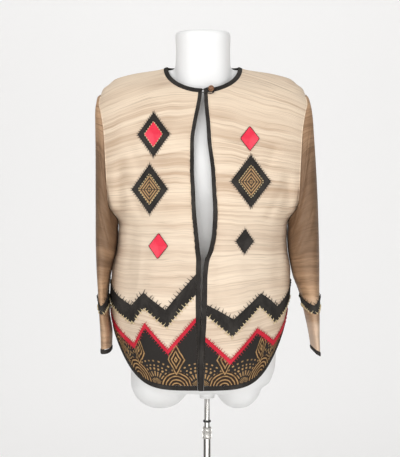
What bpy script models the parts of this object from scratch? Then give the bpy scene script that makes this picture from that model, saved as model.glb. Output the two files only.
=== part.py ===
"""An open-front collarless jacket of slubbed silk, worn by a limbless dress form on a stand.

Metres, +Z up, the jacket's front towards -Y and the wearer's right towards -X. The origin is on the floor
under the centre of the base plate.
"""
import math

import bpy
import bmesh
import numpy as np
from mathutils import Vector

COLLECTION = "open_front_jacket"
WEARER_RIGHT = -1
WEARER_LEFT = 1
FRONT = -1
BACK = 1

# Cloth sizes
CLOTH = 0.0015
SEAM = 0.0003
BINDING_WIDTH = 0.010
NECK_BINDING_WIDTH = 0.009
BINDING = 0.0030
BINDING_INSIDE = 0.0003
OVERLAY_GAP = 0.0005
OVERLAY = 0.0010
INSET = 0.0008
TRIM_WIDTH = 0.010
GARMENT_X = -0.0088

# Neckline, shoulder, armhole and hem
NECK_HALF_WIDTH = 0.077
NECK_POINT_Z = 1.361
NECK_DROP = 0.056
BACK_NECK_RISE = 0.009
SHOULDER_TIP_Z = 1.3007
UNDERARM_Z = 1.017
ARMHOLE_HALF_DEPTH = 0.070
HEM_CENTRE_Z = 0.669
HEM_SIDE_RISE = 0.126
HEM_RISE_POWER = 5
UNDERARM_V = 0.547
SECTION_POWER = 2.2
LAP_DEPTH = 0.0044
LAP_WIDTH = 0.06
LAP_TOP_Z = 0.900
LAP_FULL_Z = 0.790
SLOPE_STEP = 0.002

# Grid counts
FRONT_COLUMNS = 14
BACK_COLUMNS = 13
CORNER_MERGE = 0.45
NECK_COLUMNS = 6
LOWER_ROWS = 9
UPPER_ROWS = 11
UPPER_ROW_POWER = 1.6
SLEEVE_ROWS = 16

# How far out of the cloth's inner surface each kind of piece starts and ends
BOUND = {"inside": -BINDING_INSIDE, "outside": BINDING - BINDING_INSIDE}
LAID_ON = {"inside": CLOTH + OVERLAY_GAP, "outside": CLOTH + OVERLAY_GAP + OVERLAY}
LAID_OVER = {"inside": LAID_ON["outside"] + OVERLAY_GAP, "outside": LAID_ON["outside"] + OVERLAY_GAP + INSET}


def table(columns, rows):
    """A short table as a dict of one array for each named column, lowest first in its first column."""
    values = np.array(rows, float).T
    order = np.argsort(values[0])
    return {name: column[order] for name, column in zip(columns.split(), values)}


# The cloth's inner surface: half width, depth in front and behind, and how far its middle stands to one side
BODY = table("height half_width front back shift", [
    (0.640, 0.171, 0.140, 0.128, -0.0100),
    (0.720, 0.179, 0.139, 0.127, -0.0100),
    (0.760, 0.183, 0.138, 0.126, -0.0098),
    (0.800, 0.187, 0.137, 0.125, -0.0092),
    (0.830, 0.191, 0.135, 0.123, -0.0085),
    (0.870, 0.195, 0.133, 0.121, -0.0062),
    (0.915, 0.1945, 0.131, 0.119, -0.0040),
    (0.960, 0.186, 0.129, 0.117, -0.0020),
    (0.990, 0.1835, 0.128, 0.116, -0.0008),
    (1.017, 0.1835, 0.128, 0.116, 0.0),
    (1.060, 0.217, 0.127, 0.116, 0.0),
    (1.125, 0.237, 0.126, 0.118, 0.0),
    (1.180, 0.245, 0.122, 0.116, 0.0),
    (1.230, 0.246, 0.112, 0.110, 0.0),
    (1.270, 0.243, 0.098, 0.102, 0.0),
    (1.3007, 0.2233, 0.0825, 0.093, 0.0),
    (1.3117, 0.2190, 0.0715, 0.0885, 0.0),
    (1.3227, 0.2057, 0.0570, 0.083, 0.0),
    (1.3337, 0.1925, 0.0415, 0.078, 0.0),
    (1.3447, 0.1560, 0.0260, 0.072, 0.0),
    (1.3557, 0.0920, 0.0110, 0.066, 0.0),
    (1.3610, 0.0770, 0.0040, 0.064, 0.0),
    (1.3660, 0.0720, 0.0030, 0.062, 0.0),
    (1.3720, 0.0620, 0.0030, 0.060, 0.0),
])

# Where each front's bound edge hangs, seen from the front
FRONT_EDGES = table("height right_front left_front", [
    (0.640, -0.0010, -0.0095),
    (0.720, -0.0015, -0.0085),
    (0.780, -0.0030, -0.0055),
    (0.820, -0.0052, -0.0030),
    (0.860, -0.0055, -0.0020),
    (0.900, -0.0052, -0.0014),
    (0.920, -0.0050, 0.0000),
    (0.940, -0.0045, 0.0030),
    (0.960, -0.0066, 0.0110),
    (1.000, -0.0108, 0.0186),
    (1.045, -0.0150, 0.0207),
    (1.090, -0.0171, 0.0186),
    (1.130, -0.0192, 0.0165),
    (1.190, -0.0192, 0.0090),
    (1.235, -0.0129, 0.0060),
    (1.255, -0.0087, 0.0039),
    (1.290, -0.0030, 0.0018),
    (1.310, -0.0015, 0.0012),
])

# Soft folds: a line of cloth from one point to another, drawn in by a depth over a width
FOLDS = table("side face x_top z_top x_bottom z_bottom width depth", [
    (-1, -1, 0.176, 1.150, 0.182, 1.020, 0.012, 0.007),
    (-1, -1, 0.172, 1.090, 0.188, 0.985, 0.012, 0.004),
    (1, -1, 0.180, 1.125, 0.182, 1.030, 0.012, 0.007),
    (1, -1, 0.168, 1.070, 0.182, 0.960, 0.014, 0.004),
    (-1, 1, 0.168, 1.150, 0.172, 1.000, 0.014, 0.008),
    (1, 1, 0.170, 1.140, 0.168, 0.980, 0.014, 0.008),
    (-1, 1, 0.070, 1.060, 0.090, 0.740, 0.045, 0.006),
    (1, 1, 0.060, 1.000, 0.080, 0.720, 0.045, 0.006),
])

# Each sleeve ring: its point nearest the body, its point furthest out, half its depth and its middle
SLEEVE_COLUMNS = "ring inner_x inner_z outer_x outer_z half_depth middle_y"
SLEEVES = {
    WEARER_RIGHT: table(SLEEVE_COLUMNS, [
        (0, 0.1881, 1.017, 0.2237, 1.3007, 0.0700, 0.000),
        (1, 0.1890, 1.010, 0.2305, 1.294, 0.0702, 0.000),
        (2, 0.1896, 1.002, 0.2330, 1.270, 0.0706, 0.000),
        (3, 0.1900, 0.990, 0.2332, 1.200, 0.0720, 0.000),
        (4, 0.1910, 0.974, 0.2332, 1.120, 0.0750, -0.002),
        (5, 0.1932, 0.954, 0.2328, 1.045, 0.0775, -0.004),
        (6, 0.1995, 0.930, 0.2320, 0.975, 0.0785, -0.006),
        (7, 0.2065, 0.908, 0.2300, 0.925, 0.0775, -0.008),
        (8, 0.2090, 0.868, 0.2265, 0.873, 0.0740, -0.010),
        (9, 0.2078, 0.823, 0.2235, 0.823, 0.0700, -0.013),
        (10, 0.2010, 0.778, 0.2210, 0.778, 0.0655, -0.016),
        (11, 0.2020, 0.740, 0.2195, 0.738, 0.0620, -0.019),
    ]),
    WEARER_LEFT: table(SLEEVE_COLUMNS, [
        (0, 0.1881, 1.017, 0.2237, 1.3007, 0.0700, 0.000),
        (1, 0.1890, 1.010, 0.2290, 1.296, 0.0702, 0.000),
        (2, 0.1897, 1.002, 0.2370, 1.268, 0.0706, 0.000),
        (3, 0.1910, 0.990, 0.2425, 1.200, 0.0720, 0.000),
        (4, 0.1920, 0.974, 0.2470, 1.120, 0.0750, -0.002),
        (5, 0.1945, 0.953, 0.2500, 1.045, 0.0775, -0.004),
        (6, 0.1985, 0.930, 0.2515, 0.975, 0.0785, -0.006),
        (7, 0.2045, 0.905, 0.2520, 0.925, 0.0775, -0.008),
        (8, 0.2130, 0.868, 0.2515, 0.873, 0.0740, -0.010),
        (9, 0.2240, 0.825, 0.2515, 0.823, 0.0700, -0.013),
        (10, 0.2345, 0.777, 0.2510, 0.770, 0.0655, -0.016),
        (11, 0.2400, 0.742, 0.2515, 0.731, 0.0620, -0.019),
    ]),
}
LAST_RING = 11
BULGE_END_RING = 5
CUFF_RING = 10.75
CUFF_SEAM = 0.024
SLEEVE_SQUARENESS = 2.5
SLEEVE_SEAM = 0.0010
UNDERARM_SEAM = 0.0046

# Sleeve folds: a ring of cloth that leans from front to back and is drawn in
SLEEVE_FOLDS = table("side ring lean width depth middle", [
    (1, 3.1, 0.55, 0.30, 0.0045, 90),
    (1, 4.4, -0.50, 0.34, 0.0040, 90),
    (1, 5.6, 0.40, 0.30, 0.0050, 90),
    (-1, 4.0, -0.45, 0.32, 0.0030, 90),
    (-1, 5.4, 0.40, 0.32, 0.0040, 90),
    (1, 5.0, 0.40, 0.30, 0.0040, 270),
    (-1, 5.0, 0.40, 0.30, 0.0040, 270),
])

# The chevron border on each panel, from centre (0) to side seam (1)
CHEVRONS = {
    (FRONT, WEARER_RIGHT): table("across band_top band_bottom trim_top", [
        (0.00, 0.911, 0.8685, 0.8210),
        (0.22, 0.836, 0.7990, 0.7540),
        (0.40, 0.872, 0.8400, 0.8085),
        (0.52, 0.844, 0.8060, 0.7640),
        (1.00, 0.896, 0.8630, 0.8330),
    ]),
    (FRONT, WEARER_LEFT): table("across band_top band_bottom trim_top", [
        (0.00, 0.8475, 0.8250, 0.7810),
        (0.21, 0.8170, 0.7800, 0.7330),
        (0.43, 0.8700, 0.8420, 0.7965),
        (0.64, 0.8410, 0.8060, 0.7680),
        (1.00, 0.8960, 0.8630, 0.8330),
    ]),
    (BACK, WEARER_RIGHT): table("across band_top band_bottom trim_top", [
        (0.00, 0.885, 0.8500, 0.8100),
        (0.25, 0.835, 0.7990, 0.7540),
        (0.50, 0.880, 0.8440, 0.8000),
        (0.75, 0.848, 0.8150, 0.7900),
        (1.00, 0.896, 0.8630, 0.8330),
    ]),
}
CHEVRONS[(BACK, WEARER_LEFT)] = CHEVRONS[(BACK, WEARER_RIGHT)]

# The sleeve band's edges round the sleeve, by ring, at every so many sides
SLEEVE_BAND = table("side upper_ring lower_ring", [
    (0, 8.20, 8.60),
    (4, 8.60, 9.00),
    (7, 8.20, 8.60),
    (11, 8.60, 9.00),
    (15, 8.20, 8.60),
    (18, 8.60, 9.00),
    (22, 8.20, 8.60),
])

# Lozenge patches on the fronts: centre from the middle line, half sizes, and which layer each is
PATCHES = (
    # name, side, x, z, half width, half height, layer, material
    ("patch_right_upper", WEARER_RIGHT, 0.104, 1.205, 0.034, 0.047, 1, "black cotton"),
    ("inset_right_upper", WEARER_RIGHT, 0.104, 1.205, 0.019, 0.027, 2, "red cloth"),
    ("patch_right_middle", WEARER_RIGHT, 0.112, 1.090, 0.038, 0.052, 1, "black cotton"),
    ("inset_right_middle", WEARER_RIGHT, 0.112, 1.090, 0.023, 0.032, 2, "printed cloth"),
    ("patch_right_lower", WEARER_RIGHT, 0.092, 0.970, 0.020, 0.027, 1, "red cloth"),
    ("patch_left_upper", WEARER_LEFT, 0.098, 1.196, 0.020, 0.026, 1, "red cloth"),
    ("patch_left_middle", WEARER_LEFT, 0.100, 1.106, 0.042, 0.055, 1, "black cotton"),
    ("inset_left_middle", WEARER_LEFT, 0.100, 1.106, 0.026, 0.034, 2, "printed cloth"),
    ("patch_left_lower", WEARER_LEFT, 0.088, 0.980, 0.019, 0.026, 1, "black cotton"),
)
PATCH_CELLS = 4

# Button and loop
BUTTON_RADIUS = 0.0076
BUTTON_X = 0.0168
BUTTON_Z = 1.2992
LOOP_RADIUS = 0.0011
LOOP_BEND = 0.0068
LOOP_START_X = -0.0055
LOOP_START_Z = (1.3000, 1.2945)
LOOP_GAP = 0.0005

# The dress form, inside the cloth
FORM = table("height half_width front back", [
    (0.648, 0.060, 0.040, 0.040),
    (0.652, 0.110, 0.072, 0.070),
    (0.672, 0.148, 0.098, 0.093),
    (0.720, 0.160, 0.108, 0.100),
    (0.800, 0.158, 0.106, 0.100),
    (0.880, 0.145, 0.096, 0.092),
    (0.960, 0.131, 0.090, 0.086),
    (1.030, 0.131, 0.094, 0.086),
    (1.100, 0.148, 0.108, 0.092),
    (1.150, 0.160, 0.112, 0.096),
    (1.200, 0.170, 0.104, 0.096),
    (1.250, 0.182, 0.088, 0.090),
    (1.285, 0.190, 0.072, 0.080),
    (1.310, 0.190, 0.058, 0.066),
])
FORM_SHOULDER_GAP = 0.0008
FORM_SHOULDER_SHARE = 0.64
FORM_SIDES = 26
FORM_BODY_Z = (0.70, 1.29)
FORM_BODY_ROWS = 12
FORM_SHOULDER_Z = (1.305, 1.315, 1.325, 1.335, 1.343, 1.350, 1.3555)
NECK = table("height half_width half_depth", [
    (1.270, 0.070, 0.056),
    (1.330, 0.062, 0.052),
    (1.360, 0.0605, 0.050),
    (1.400, 0.0595, 0.050),
    (1.430, 0.0610, 0.051),
    (1.437, 0.0590, 0.049),
])
NECK_MIDDLE_Y = -0.008
THIGHS = (
    # name, middle x, half width, half depth
    ("thigh_right", -0.0935, 0.065, 0.080),
    ("thigh_left", 0.0770, 0.053, 0.078),
)
THIGH_TOP_Z = 0.760
THIGH_BOTTOM_Z = 0.612
THIGH_ROUNDING = 0.060

# Stand
ROD_RADIUS = 0.006
ROD_BOTTOM_Z = 0.240
SOCKET_RADIUS = 0.017
SOCKET_HEIGHT = 0.014
RING_Z = 0.583
RING_HEIGHT = 0.005
RING_RADIUS = 0.0086
TUBE_RADIUS = 0.008
TUBE_BORE = 0.0063
TUBE_TOP_Z = 0.566
COLLAR_RADIUS = 0.0106
COLLAR_HEIGHT = 0.026
HUB_RADIUS = 0.030
HUB_HEIGHT = 0.034
BASE_RADIUS = 0.180
BASE_HEIGHT = 0.008
BASE_EDGE = 0.0025
TURNED_SIDES = 24
BASE_SIDES = 40

FINISHES = {
    # colour, roughness, metallic
    "slub silk": ((0.80, 0.66, 0.47), 0.55, 0.0),
    "sleeve silk": ((0.42, 0.29, 0.17), 0.55, 0.0),
    "black cotton": ((0.035, 0.032, 0.030), 0.85, 0.0),
    "red cloth": ((0.80, 0.03, 0.07), 0.75, 0.0),
    "printed cloth": ((0.28, 0.17, 0.07), 0.8, 0.0),
    "turned wood": ((0.16, 0.07, 0.03), 0.35, 0.0),
    "form plastic": ((0.86, 0.86, 0.87), 0.35, 0.0),
    "polished steel": ((0.80, 0.80, 0.80), 0.15, 1.0),
    "black rubber": ((0.02, 0.02, 0.02), 0.6, 0.0),
}


def smooth(heights, values, z):
    """A curve through the table's values that never overshoots them."""
    z = np.clip(np.asarray(z, float), heights[0], heights[-1])
    step = np.diff(heights)
    slope = np.diff(values) / step
    before, after = slope[:-1], slope[1:]
    product = before * after
    total = before + after
    inner = np.where(product > 0, 2 * product / np.where(total == 0, 1, total), 0)
    tangent = np.concatenate([slope[:1], inner, slope[-1:]])
    index = np.clip(np.searchsorted(heights, z, side="right") - 1, 0, len(step) - 1)
    t = (z - heights[index]) / step[index]
    rise = values[index + 1] - values[index]
    start = tangent[index] * step[index]
    end = tangent[index + 1] * step[index]
    return values[index] + t * t * (3 - 2 * t) * rise + t * (1 - t) ** 2 * start - t * t * (1 - t) * end


def step_between(low, high, value):
    t = np.clip((value - low) / (high - low), 0, 1)
    return t * t * (3 - 2 * t)


def fold_depth(side, face, x, z):
    total = np.zeros(np.broadcast(x, z).shape)
    for row in zip(*FOLDS.values()):
        fold_side, fold_face, x_top, z_top, x_bottom, z_bottom, width, depth = row
        if fold_side != side or fold_face != face:
            continue
        along = (z_top - z) / (z_top - z_bottom)
        middle = x_top + (x_bottom - x_top) * along
        ends = step_between(-0.15, 0.25, along) * (1 - step_between(0.75, 1.15, along))
        total = total + depth * ends * np.exp(-((x - middle) / width) ** 2)
    return total


def cloth_point(side, face, x, z):
    """The point of the cloth's inner surface at a half-width x and height z, in front or behind."""
    x, z = np.broadcast_arrays(np.asarray(x, float), np.asarray(z, float))
    half = smooth(BODY["height"], BODY["half_width"], z)
    reach = smooth(BODY["height"], BODY["front" if face == FRONT else "back"], z)
    share = np.clip(np.abs(x) / half, 0, 1)
    depth = reach * (1 - share ** SECTION_POWER) ** (1 / SECTION_POWER)
    depth = depth - fold_depth(side, face, x, z) * np.minimum(1, depth / 0.02)
    if face == FRONT and side == WEARER_LEFT:
        lap = step_between(LAP_FULL_Z, LAP_TOP_Z, z)
        depth = depth + LAP_DEPTH * (1 - lap) * np.exp(-(x / LAP_WIDTH) ** 2)
    middle = smooth(BODY["height"], BODY["shift"], z)
    return np.stack([side * x + middle, face * (depth + SEAM / 2), z], axis=-1)


def body_slope(name, z):
    """How fast one of the body's sizes grows with height."""
    above, below = [smooth(BODY["height"], BODY[name], z + step) for step in (SLOPE_STEP, -SLOPE_STEP)]
    return (above - below) / (2 * SLOPE_STEP)


def cloth_normal(side, face, x, z):
    """The direction square to the cloth there, folds left out, so that neighbours agree on it."""
    x, z = np.broadcast_arrays(np.asarray(x, float), np.asarray(z, float))
    reach_name = "front" if face == FRONT else "back"
    half, reach = [smooth(BODY["height"], BODY[name], z) for name in ("half_width", reach_name)]
    half_slope, reach_slope = [body_slope(name, z) for name in ("half_width", reach_name)]
    share = np.clip(np.abs(x) / half, 0, 1)
    deep = (1 - share ** SECTION_POWER) ** (1 / SECTION_POWER)
    across = share ** (SECTION_POWER - 1) / half * np.sign(x)
    forward = deep ** (SECTION_POWER - 1) / reach
    upward = -(share ** SECTION_POWER * half_slope / half + deep ** SECTION_POWER * reach_slope / reach)
    normal = np.stack([side * across, face * forward, upward], axis=-1)
    return normal / np.linalg.norm(normal, axis=-1, keepdims=True)


def cloth_grid(side, face, x, z):
    """Points of the cloth and the directions square to it, side by side in one array."""
    return np.concatenate([cloth_point(side, face, x, z), cloth_normal(side, face, x, z)], axis=-1)


def front_edge(side, z):
    """The half-width at which a front's bound edge hangs."""
    column = "right_front" if side == WEARER_RIGHT else "left_front"
    edge = smooth(FRONT_EDGES["height"], FRONT_EDGES[column], z)
    return side * (edge - smooth(BODY["height"], BODY["shift"], z))


def centre_line(side, face, z, inset):
    if face == FRONT:
        return front_edge(side, z) + inset
    return np.zeros(np.shape(z))


def hem_height(across):
    return HEM_CENTRE_Z + HEM_SIDE_RISE * np.sin(across * math.pi / 2) ** HEM_RISE_POWER


def hem_inset(across, inset):
    """How much higher the hem lies after a strip of this width, measured square to it."""
    angle = across * math.pi / 2
    sine = np.sin(angle)
    rise = HEM_SIDE_RISE * HEM_RISE_POWER * sine ** (HEM_RISE_POWER - 1) * np.cos(angle)
    return inset * np.sqrt(1 + (rise / BODY["half_width"][1]) ** 2)


def spread_x(side, face, across, z, inset=0.0):
    """Half-widths spaced evenly round the body, from the centre line (0) to the side seam (1)."""
    inner = centre_line(side, face, z, inset)
    outer = smooth(BODY["height"], BODY["half_width"], z)
    return inner + (outer - inner) * np.sin(across * math.pi / 2)


def resample(points, shares):
    """Points at these shares of a polyline's length."""
    points = np.asarray(points)
    run = np.concatenate([[0], np.cumsum(np.linalg.norm(np.diff(points, axis=0), axis=1))])
    wanted = np.asarray(shares) * run[-1]
    return np.stack([np.interp(wanted, run, points[:, k]) for k in range(points.shape[1])], axis=-1)


def ridge_line():
    """Half-width and height along the top of the shoulder, from the tip to the neck point."""
    heights = np.linspace(SHOULDER_TIP_Z, NECK_POINT_Z, 200)
    return smooth(BODY["height"], BODY["half_width"], heights), heights


def neck_curve(face, angle, inset):
    """Half-width and height of the neckline, from the centre (0) to the shoulder (a right angle)."""
    half = NECK_HALF_WIDTH + inset
    widths, heights = ridge_line()
    point_z = float(np.interp(half, widths[::-1], heights[::-1]))
    if face == FRONT:
        drop = point_z - (NECK_POINT_Z - NECK_DROP - inset)
        return np.stack([half * np.sin(angle), point_z - drop * np.cos(angle)], axis=-1)
    rise = NECK_POINT_Z + BACK_NECK_RISE - inset - point_z
    return np.stack([half * np.sin(angle), point_z + rise * np.cos(angle) ** 2], axis=-1)


def shoulder_curve(start_half_width, count):
    """Half-width and height along the shoulder seam, closer together towards its tip."""
    widths, heights = ridge_line()
    line = np.stack([widths, heights], axis=-1)[::-1]
    line = line[line[:, 0] >= start_half_width]
    line[0] = (start_half_width, np.interp(start_half_width, widths[::-1], heights[::-1]))
    shares = np.sin(np.linspace(0, math.pi / 2, count))
    return resample(line, shares)


def armhole_curve(side, face, share):
    """Half-width and height round the armhole, from the underarm (0) to the shoulder tip (1)."""
    angle = share * math.pi
    middle = (SHOULDER_TIP_Z + UNDERARM_Z) / 2
    height = middle - (SHOULDER_TIP_Z - UNDERARM_Z) / 2 * np.cos(angle)
    depth = ARMHOLE_HALF_DEPTH * np.sin(angle)
    half = smooth(BODY["height"], BODY["half_width"], height)
    reach = smooth(BODY["height"], BODY["front" if face == FRONT else "back"], height)
    width = half * (1 - (depth / reach) ** SECTION_POWER) ** (1 / SECTION_POWER)
    return np.stack([width, height], axis=-1)


def armhole_shares():
    """How far round the armhole each row of the upper body lies, closer together towards the shoulder."""
    share = np.linspace(0, 1, UPPER_ROWS + 1)
    return 1 - (1 - share) ** UPPER_ROW_POWER


def armhole_direction(side, face, share):
    """The direction of the cloth's thickness round the armhole, between the body's and the sleeve's own."""
    curve = armhole_curve(side, face, share)
    body = cloth_normal(side, face, curve[..., 0], curve[..., 1])
    turned_in = step_between(0.05, 0.3, share) * (1 - step_between(0.75, 0.95, share))
    body[..., 0] = body[..., 0] * (1 - 0.5 * turned_in)
    return body / np.linalg.norm(body, axis=-1, keepdims=True)


def panel_rows():
    lower = np.linspace(0, UNDERARM_V, LOWER_ROWS + 1)
    upper = UNDERARM_V + (1 - UNDERARM_V) * armhole_shares()[1:]
    return np.concatenate([lower, upper])


def panel_columns(side, face):
    """Places across a half panel, from the centre (0) to the side seam (1), with each chevron corner."""
    count = FRONT_COLUMNS if face == FRONT else BACK_COLUMNS
    corners = CHEVRONS[(face, side)]["across"]
    even = np.linspace(0, 1, count + 1)
    clear = np.abs(even[:, None] - corners[None, :]).min(axis=1) > CORNER_MERGE / count
    return np.sort(np.concatenate([even[clear], corners]))


def centre_heights(side, face):
    """The heights of a panel's rows along its centre line or front edge."""
    low = HEM_CENTRE_Z + BINDING_WIDTH + SEAM
    high = neck_curve(face, np.zeros(1), NECK_BINDING_WIDTH + SEAM)[0, 1]
    return low + (high - low) * panel_rows()


def half_panel(side, face):
    """A panel's grid from its centre line to its side seam and armhole, blended between its edges."""
    across = panel_columns(side, face)
    up = panel_rows()
    inset = BINDING_WIDTH + SEAM
    neck_angles = np.linspace(0, math.pi / 2, NECK_COLUMNS + 1)
    neck = neck_curve(face, neck_angles, NECK_BINDING_WIDTH + SEAM)
    shoulder = shoulder_curve(neck[-1, 0], len(across) - NECK_COLUMNS)
    top = np.concatenate([neck, shoulder[1:]])
    if face == FRONT:
        top[0, 0] = centre_line(side, face, top[0, 1], inset)
    hem_z = hem_height(across) + hem_inset(across, inset)
    bottom = np.stack([spread_x(side, face, across, hem_z, inset), hem_z], axis=-1)
    middle_z = centre_heights(side, face)
    middle = np.stack([centre_line(side, face, middle_z, inset), middle_z], axis=-1)
    seam_z = bottom[-1, 1] + (UNDERARM_Z - bottom[-1, 1]) * np.minimum(up / UNDERARM_V, 1)
    outer = np.stack([smooth(BODY["height"], BODY["half_width"], seam_z), seam_z], axis=-1)
    outer[LOWER_ROWS:] = armhole_curve(side, face, armhole_shares())
    a = across[:, None]
    v = up[None, :]
    upright = (1 - v) * bottom[:, None, 1] + v * top[:, None, 1]
    level = (1 - a) * middle[None, :, 1] + a * outer[None, :, 1]
    low = (1 - a) * bottom[0, 1] + a * bottom[-1, 1]
    high = (1 - a) * top[0, 1] + a * top[-1, 1]
    z = upright + level - (1 - v) * low - v * high
    along_top = (top[:, :1] - top[0, 0]) / (top[-1, 0] - top[0, 0])
    share = (1 - v) * np.sin(a * math.pi / 2) + v * along_top
    x = middle[:, 0] + (outer[:, 0] - middle[:, 0]) * share
    upper = step_between(0.90, 0.99, z)
    x = upper * x + (1 - upper) * spread_x(side, face, across[:, None], z, inset)
    wall = cloth_grid(side, face, x, z)
    wall[-1, LOWER_ROWS:, 3:] = armhole_direction(side, face, armhole_shares())
    return wall


def both_halves(right, left):
    """One grid across the back, from the wearer's right side seam to the left one."""
    return np.concatenate([right[::-1], left[1:]])


def border_grid(side, face, upper, lower, rows, inset):
    """A grid on the cloth between two heights given by functions of the place across."""
    across = panel_columns(side, face)
    low = lower(across)[:, None]
    high = upper(across)[:, None]
    z = low + (high - low) * np.linspace(0, 1, rows + 1)[None, :]
    return cloth_grid(side, face, spread_x(side, face, across[:, None], z, inset), z)


def chevron_line(side, face, column, drop=0.0):
    rows = CHEVRONS[(face, side)]
    return lambda across: np.interp(across, rows["across"], rows[column]) - drop


def hem_line(inset):
    return lambda across: hem_height(across) + hem_inset(across, inset)


def sleeve_angles():
    """Angles round the sleeve, from the underarm over the front and back, each at a row of the armhole."""
    front = armhole_shares() * math.pi
    return np.concatenate([front, 2 * math.pi - front[::-1][1:]])[:, None]


def sleeve_points(side, angles, rings):
    """The sleeve's inner surface at angles round it, from the underarm over the front, and at rings."""
    sleeve = SLEEVES[side]
    angle, ring = np.broadcast_arrays(angles, rings)
    values = {}
    for name in SLEEVE_COLUMNS.split()[1:]:
        values[name] = smooth(sleeve["ring"], sleeve[name], ring)
    squareness = 2 + (SLEEVE_SQUARENESS - 2) * step_between(1, 5, ring)
    cosine = np.cos(angle)
    sine = np.sin(angle)
    along = np.sign(cosine) * np.abs(cosine) ** (2 / squareness)
    aside = np.sign(sine) * np.abs(sine) ** (2 / squareness)
    x = (values["inner_x"] + values["outer_x"]) / 2 - (values["outer_x"] - values["inner_x"]) / 2 * along
    z = (values["inner_z"] + values["outer_z"]) / 2 - (values["outer_z"] - values["inner_z"]) / 2 * along
    drawn = np.zeros(angle.shape)
    for fold_side, fold_ring, lean, width, depth, middle in zip(*SLEEVE_FOLDS.values()):
        if fold_side == side:
            turn = np.abs((np.degrees(angle) - middle + 180) % 360 - 180) / 75
            away = (ring - fold_ring - lean * np.cos(angle)) / width
            drawn = drawn + depth * np.exp(-away ** 2 - turn ** 4)
    y = values["middle_y"] - (values["half_depth"] - drawn) * aside
    first = {name: column[0] for name, column in sleeve.items()}
    middle_x = (first["inner_x"] + first["outer_x"]) / 2
    flat = middle_x - (first["outer_x"] - first["inner_x"]) / 2 * cosine
    bulge = sleeve_head_x(side, angle) - flat
    x = x + bulge * (1 - step_between(0, BULGE_END_RING, ring))
    return np.stack([side * x, y, z], axis=-1)


def sleeve_grid(side, angles, rings):
    """Points of a sleeve and the directions square to it, side by side in one array."""
    nudge = 0.01
    points = sleeve_points(side, angles, rings)
    round_it = sleeve_points(side, angles + nudge, rings) - sleeve_points(side, angles - nudge, rings)
    before = np.maximum(rings - nudge, 0)
    along_it = sleeve_points(side, angles, rings + nudge) - sleeve_points(side, angles, before)
    normals = -side * np.cross(round_it, along_it)
    near_body = step_between(1.0, 3.5, rings)
    least = -near_body - np.clip(np.cos(angles) * 2 - 0.4, 0, 1) - 0.05
    normals[..., 0] = side * np.maximum(side * normals[..., 0], least)
    normals = normals / np.linalg.norm(normals, axis=-1, keepdims=True)
    head = np.broadcast_to(rings, points.shape[:2]) < nudge
    normals[head] = sleeve_head_direction(side, np.broadcast_to(angles, points.shape[:2])[head])
    return np.concatenate([points, normals], axis=-1)


def armhole_place(angle):
    """How far round the armhole an angle of the sleeve lies, and whether it is behind."""
    turn = np.degrees(angle) % 360
    return np.where(turn <= 180, turn, 360 - turn) / 180, turn > 180


def sleeve_head_x(side, angle):
    """How far out the sleeve's first ring stands, just outside the armhole's edge."""
    share, behind = armhole_place(angle)
    front = armhole_curve(side, FRONT, share)[..., 0]
    back = armhole_curve(side, BACK, share)[..., 0]
    under = ((1 + np.cos(angle)) / 2) ** 5
    return np.where(behind, back, front) + SLEEVE_SEAM + (UNDERARM_SEAM - SLEEVE_SEAM) * under


def sleeve_head_direction(side, angle):
    """The direction of the sleeve's thickness at its head: the armhole's, and inwards under the arm."""
    share, behind = armhole_place(angle)
    in_front, at_back = [armhole_direction(side, face, share) for face in (FRONT, BACK)]
    shared = np.where(behind[..., None], at_back, in_front)
    over = step_between(0.02, 0.3, share)[..., None]
    direction = over * shared + (1 - over) * np.array([-side, 0, -0.3])
    return direction / np.linalg.norm(direction, axis=-1, keepdims=True)


def material(name):
    """A plain Principled material with one of the finishes."""
    made = bpy.data.materials.get(name)
    if made:
        return made
    colour, roughness, metallic = FINISHES[name]
    made = bpy.data.materials.new(name)
    made.use_nodes = True
    shader = made.node_tree.nodes["Principled BSDF"]
    shader.inputs["Base Color"].default_value = (*colour, 1)
    shader.inputs["Roughness"].default_value = roughness
    shader.inputs["Metallic"].default_value = metallic
    return made


def add_object(name, mesh, finish):
    mesh.materials.append(material(finish))
    for polygon in mesh.polygons:
        polygon.use_smooth = True
    made = bpy.data.objects.new(name, mesh)
    bpy.data.collections[COLLECTION].objects.link(made)
    return made


def mesh_from(name, bm):
    mesh = bpy.data.meshes.new(name)
    bm.to_mesh(mesh)
    bm.free()
    return mesh


def add_layer(bm, points):
    """A grid of faces through these points, with its vertices in columns."""
    columns, rows = points.shape[:2]
    made = bmesh.ops.create_grid(bm, x_segments=columns - 1, y_segments=rows - 1, size=1)["verts"]
    for index, vert in enumerate(made):
        row, column = divmod(index, columns)
        vert.co = points[column, row]
    return np.array(made, object).reshape(rows, columns).T


def rim(layer, closed):
    """The vertices round the edge of a layer, as lists that each follow one edge."""
    ends = [list(layer[:, 0]), list(layer[::-1, -1])]
    if closed:
        return ends
    return ends + [list(layer[-1, :]), list(layer[0, ::-1])]


def cloth(name, grid, finish, inside=0.0, outside=CLOTH, closed=False):
    """A wall of cloth on a grid of points and directions, from one distance out of it to another."""
    points = grid[..., :3] + np.array([GARMENT_X, 0, 0])
    directions = grid[..., 3:]
    bm = bmesh.new()
    inner = add_layer(bm, points + directions * inside)
    outer = add_layer(bm, points + directions * outside)
    for near, far in zip(rim(inner, closed), rim(outer, closed)):
        for k in range(len(near) - 1):
            bm.faces.new((near[k], near[k + 1], far[k + 1], far[k]))
    if closed:
        bmesh.ops.remove_doubles(bm, verts=bm.verts, dist=1e-6)
    bmesh.ops.recalc_face_normals(bm, faces=bm.faces)
    if bm.calc_volume(signed=True) < 0:
        bmesh.ops.reverse_faces(bm, faces=bm.faces)
    mesh = mesh_from(name, bm)
    mesh.set_sharp_from_angle(angle=math.radians(60))
    return add_object(name, mesh, finish)


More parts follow.
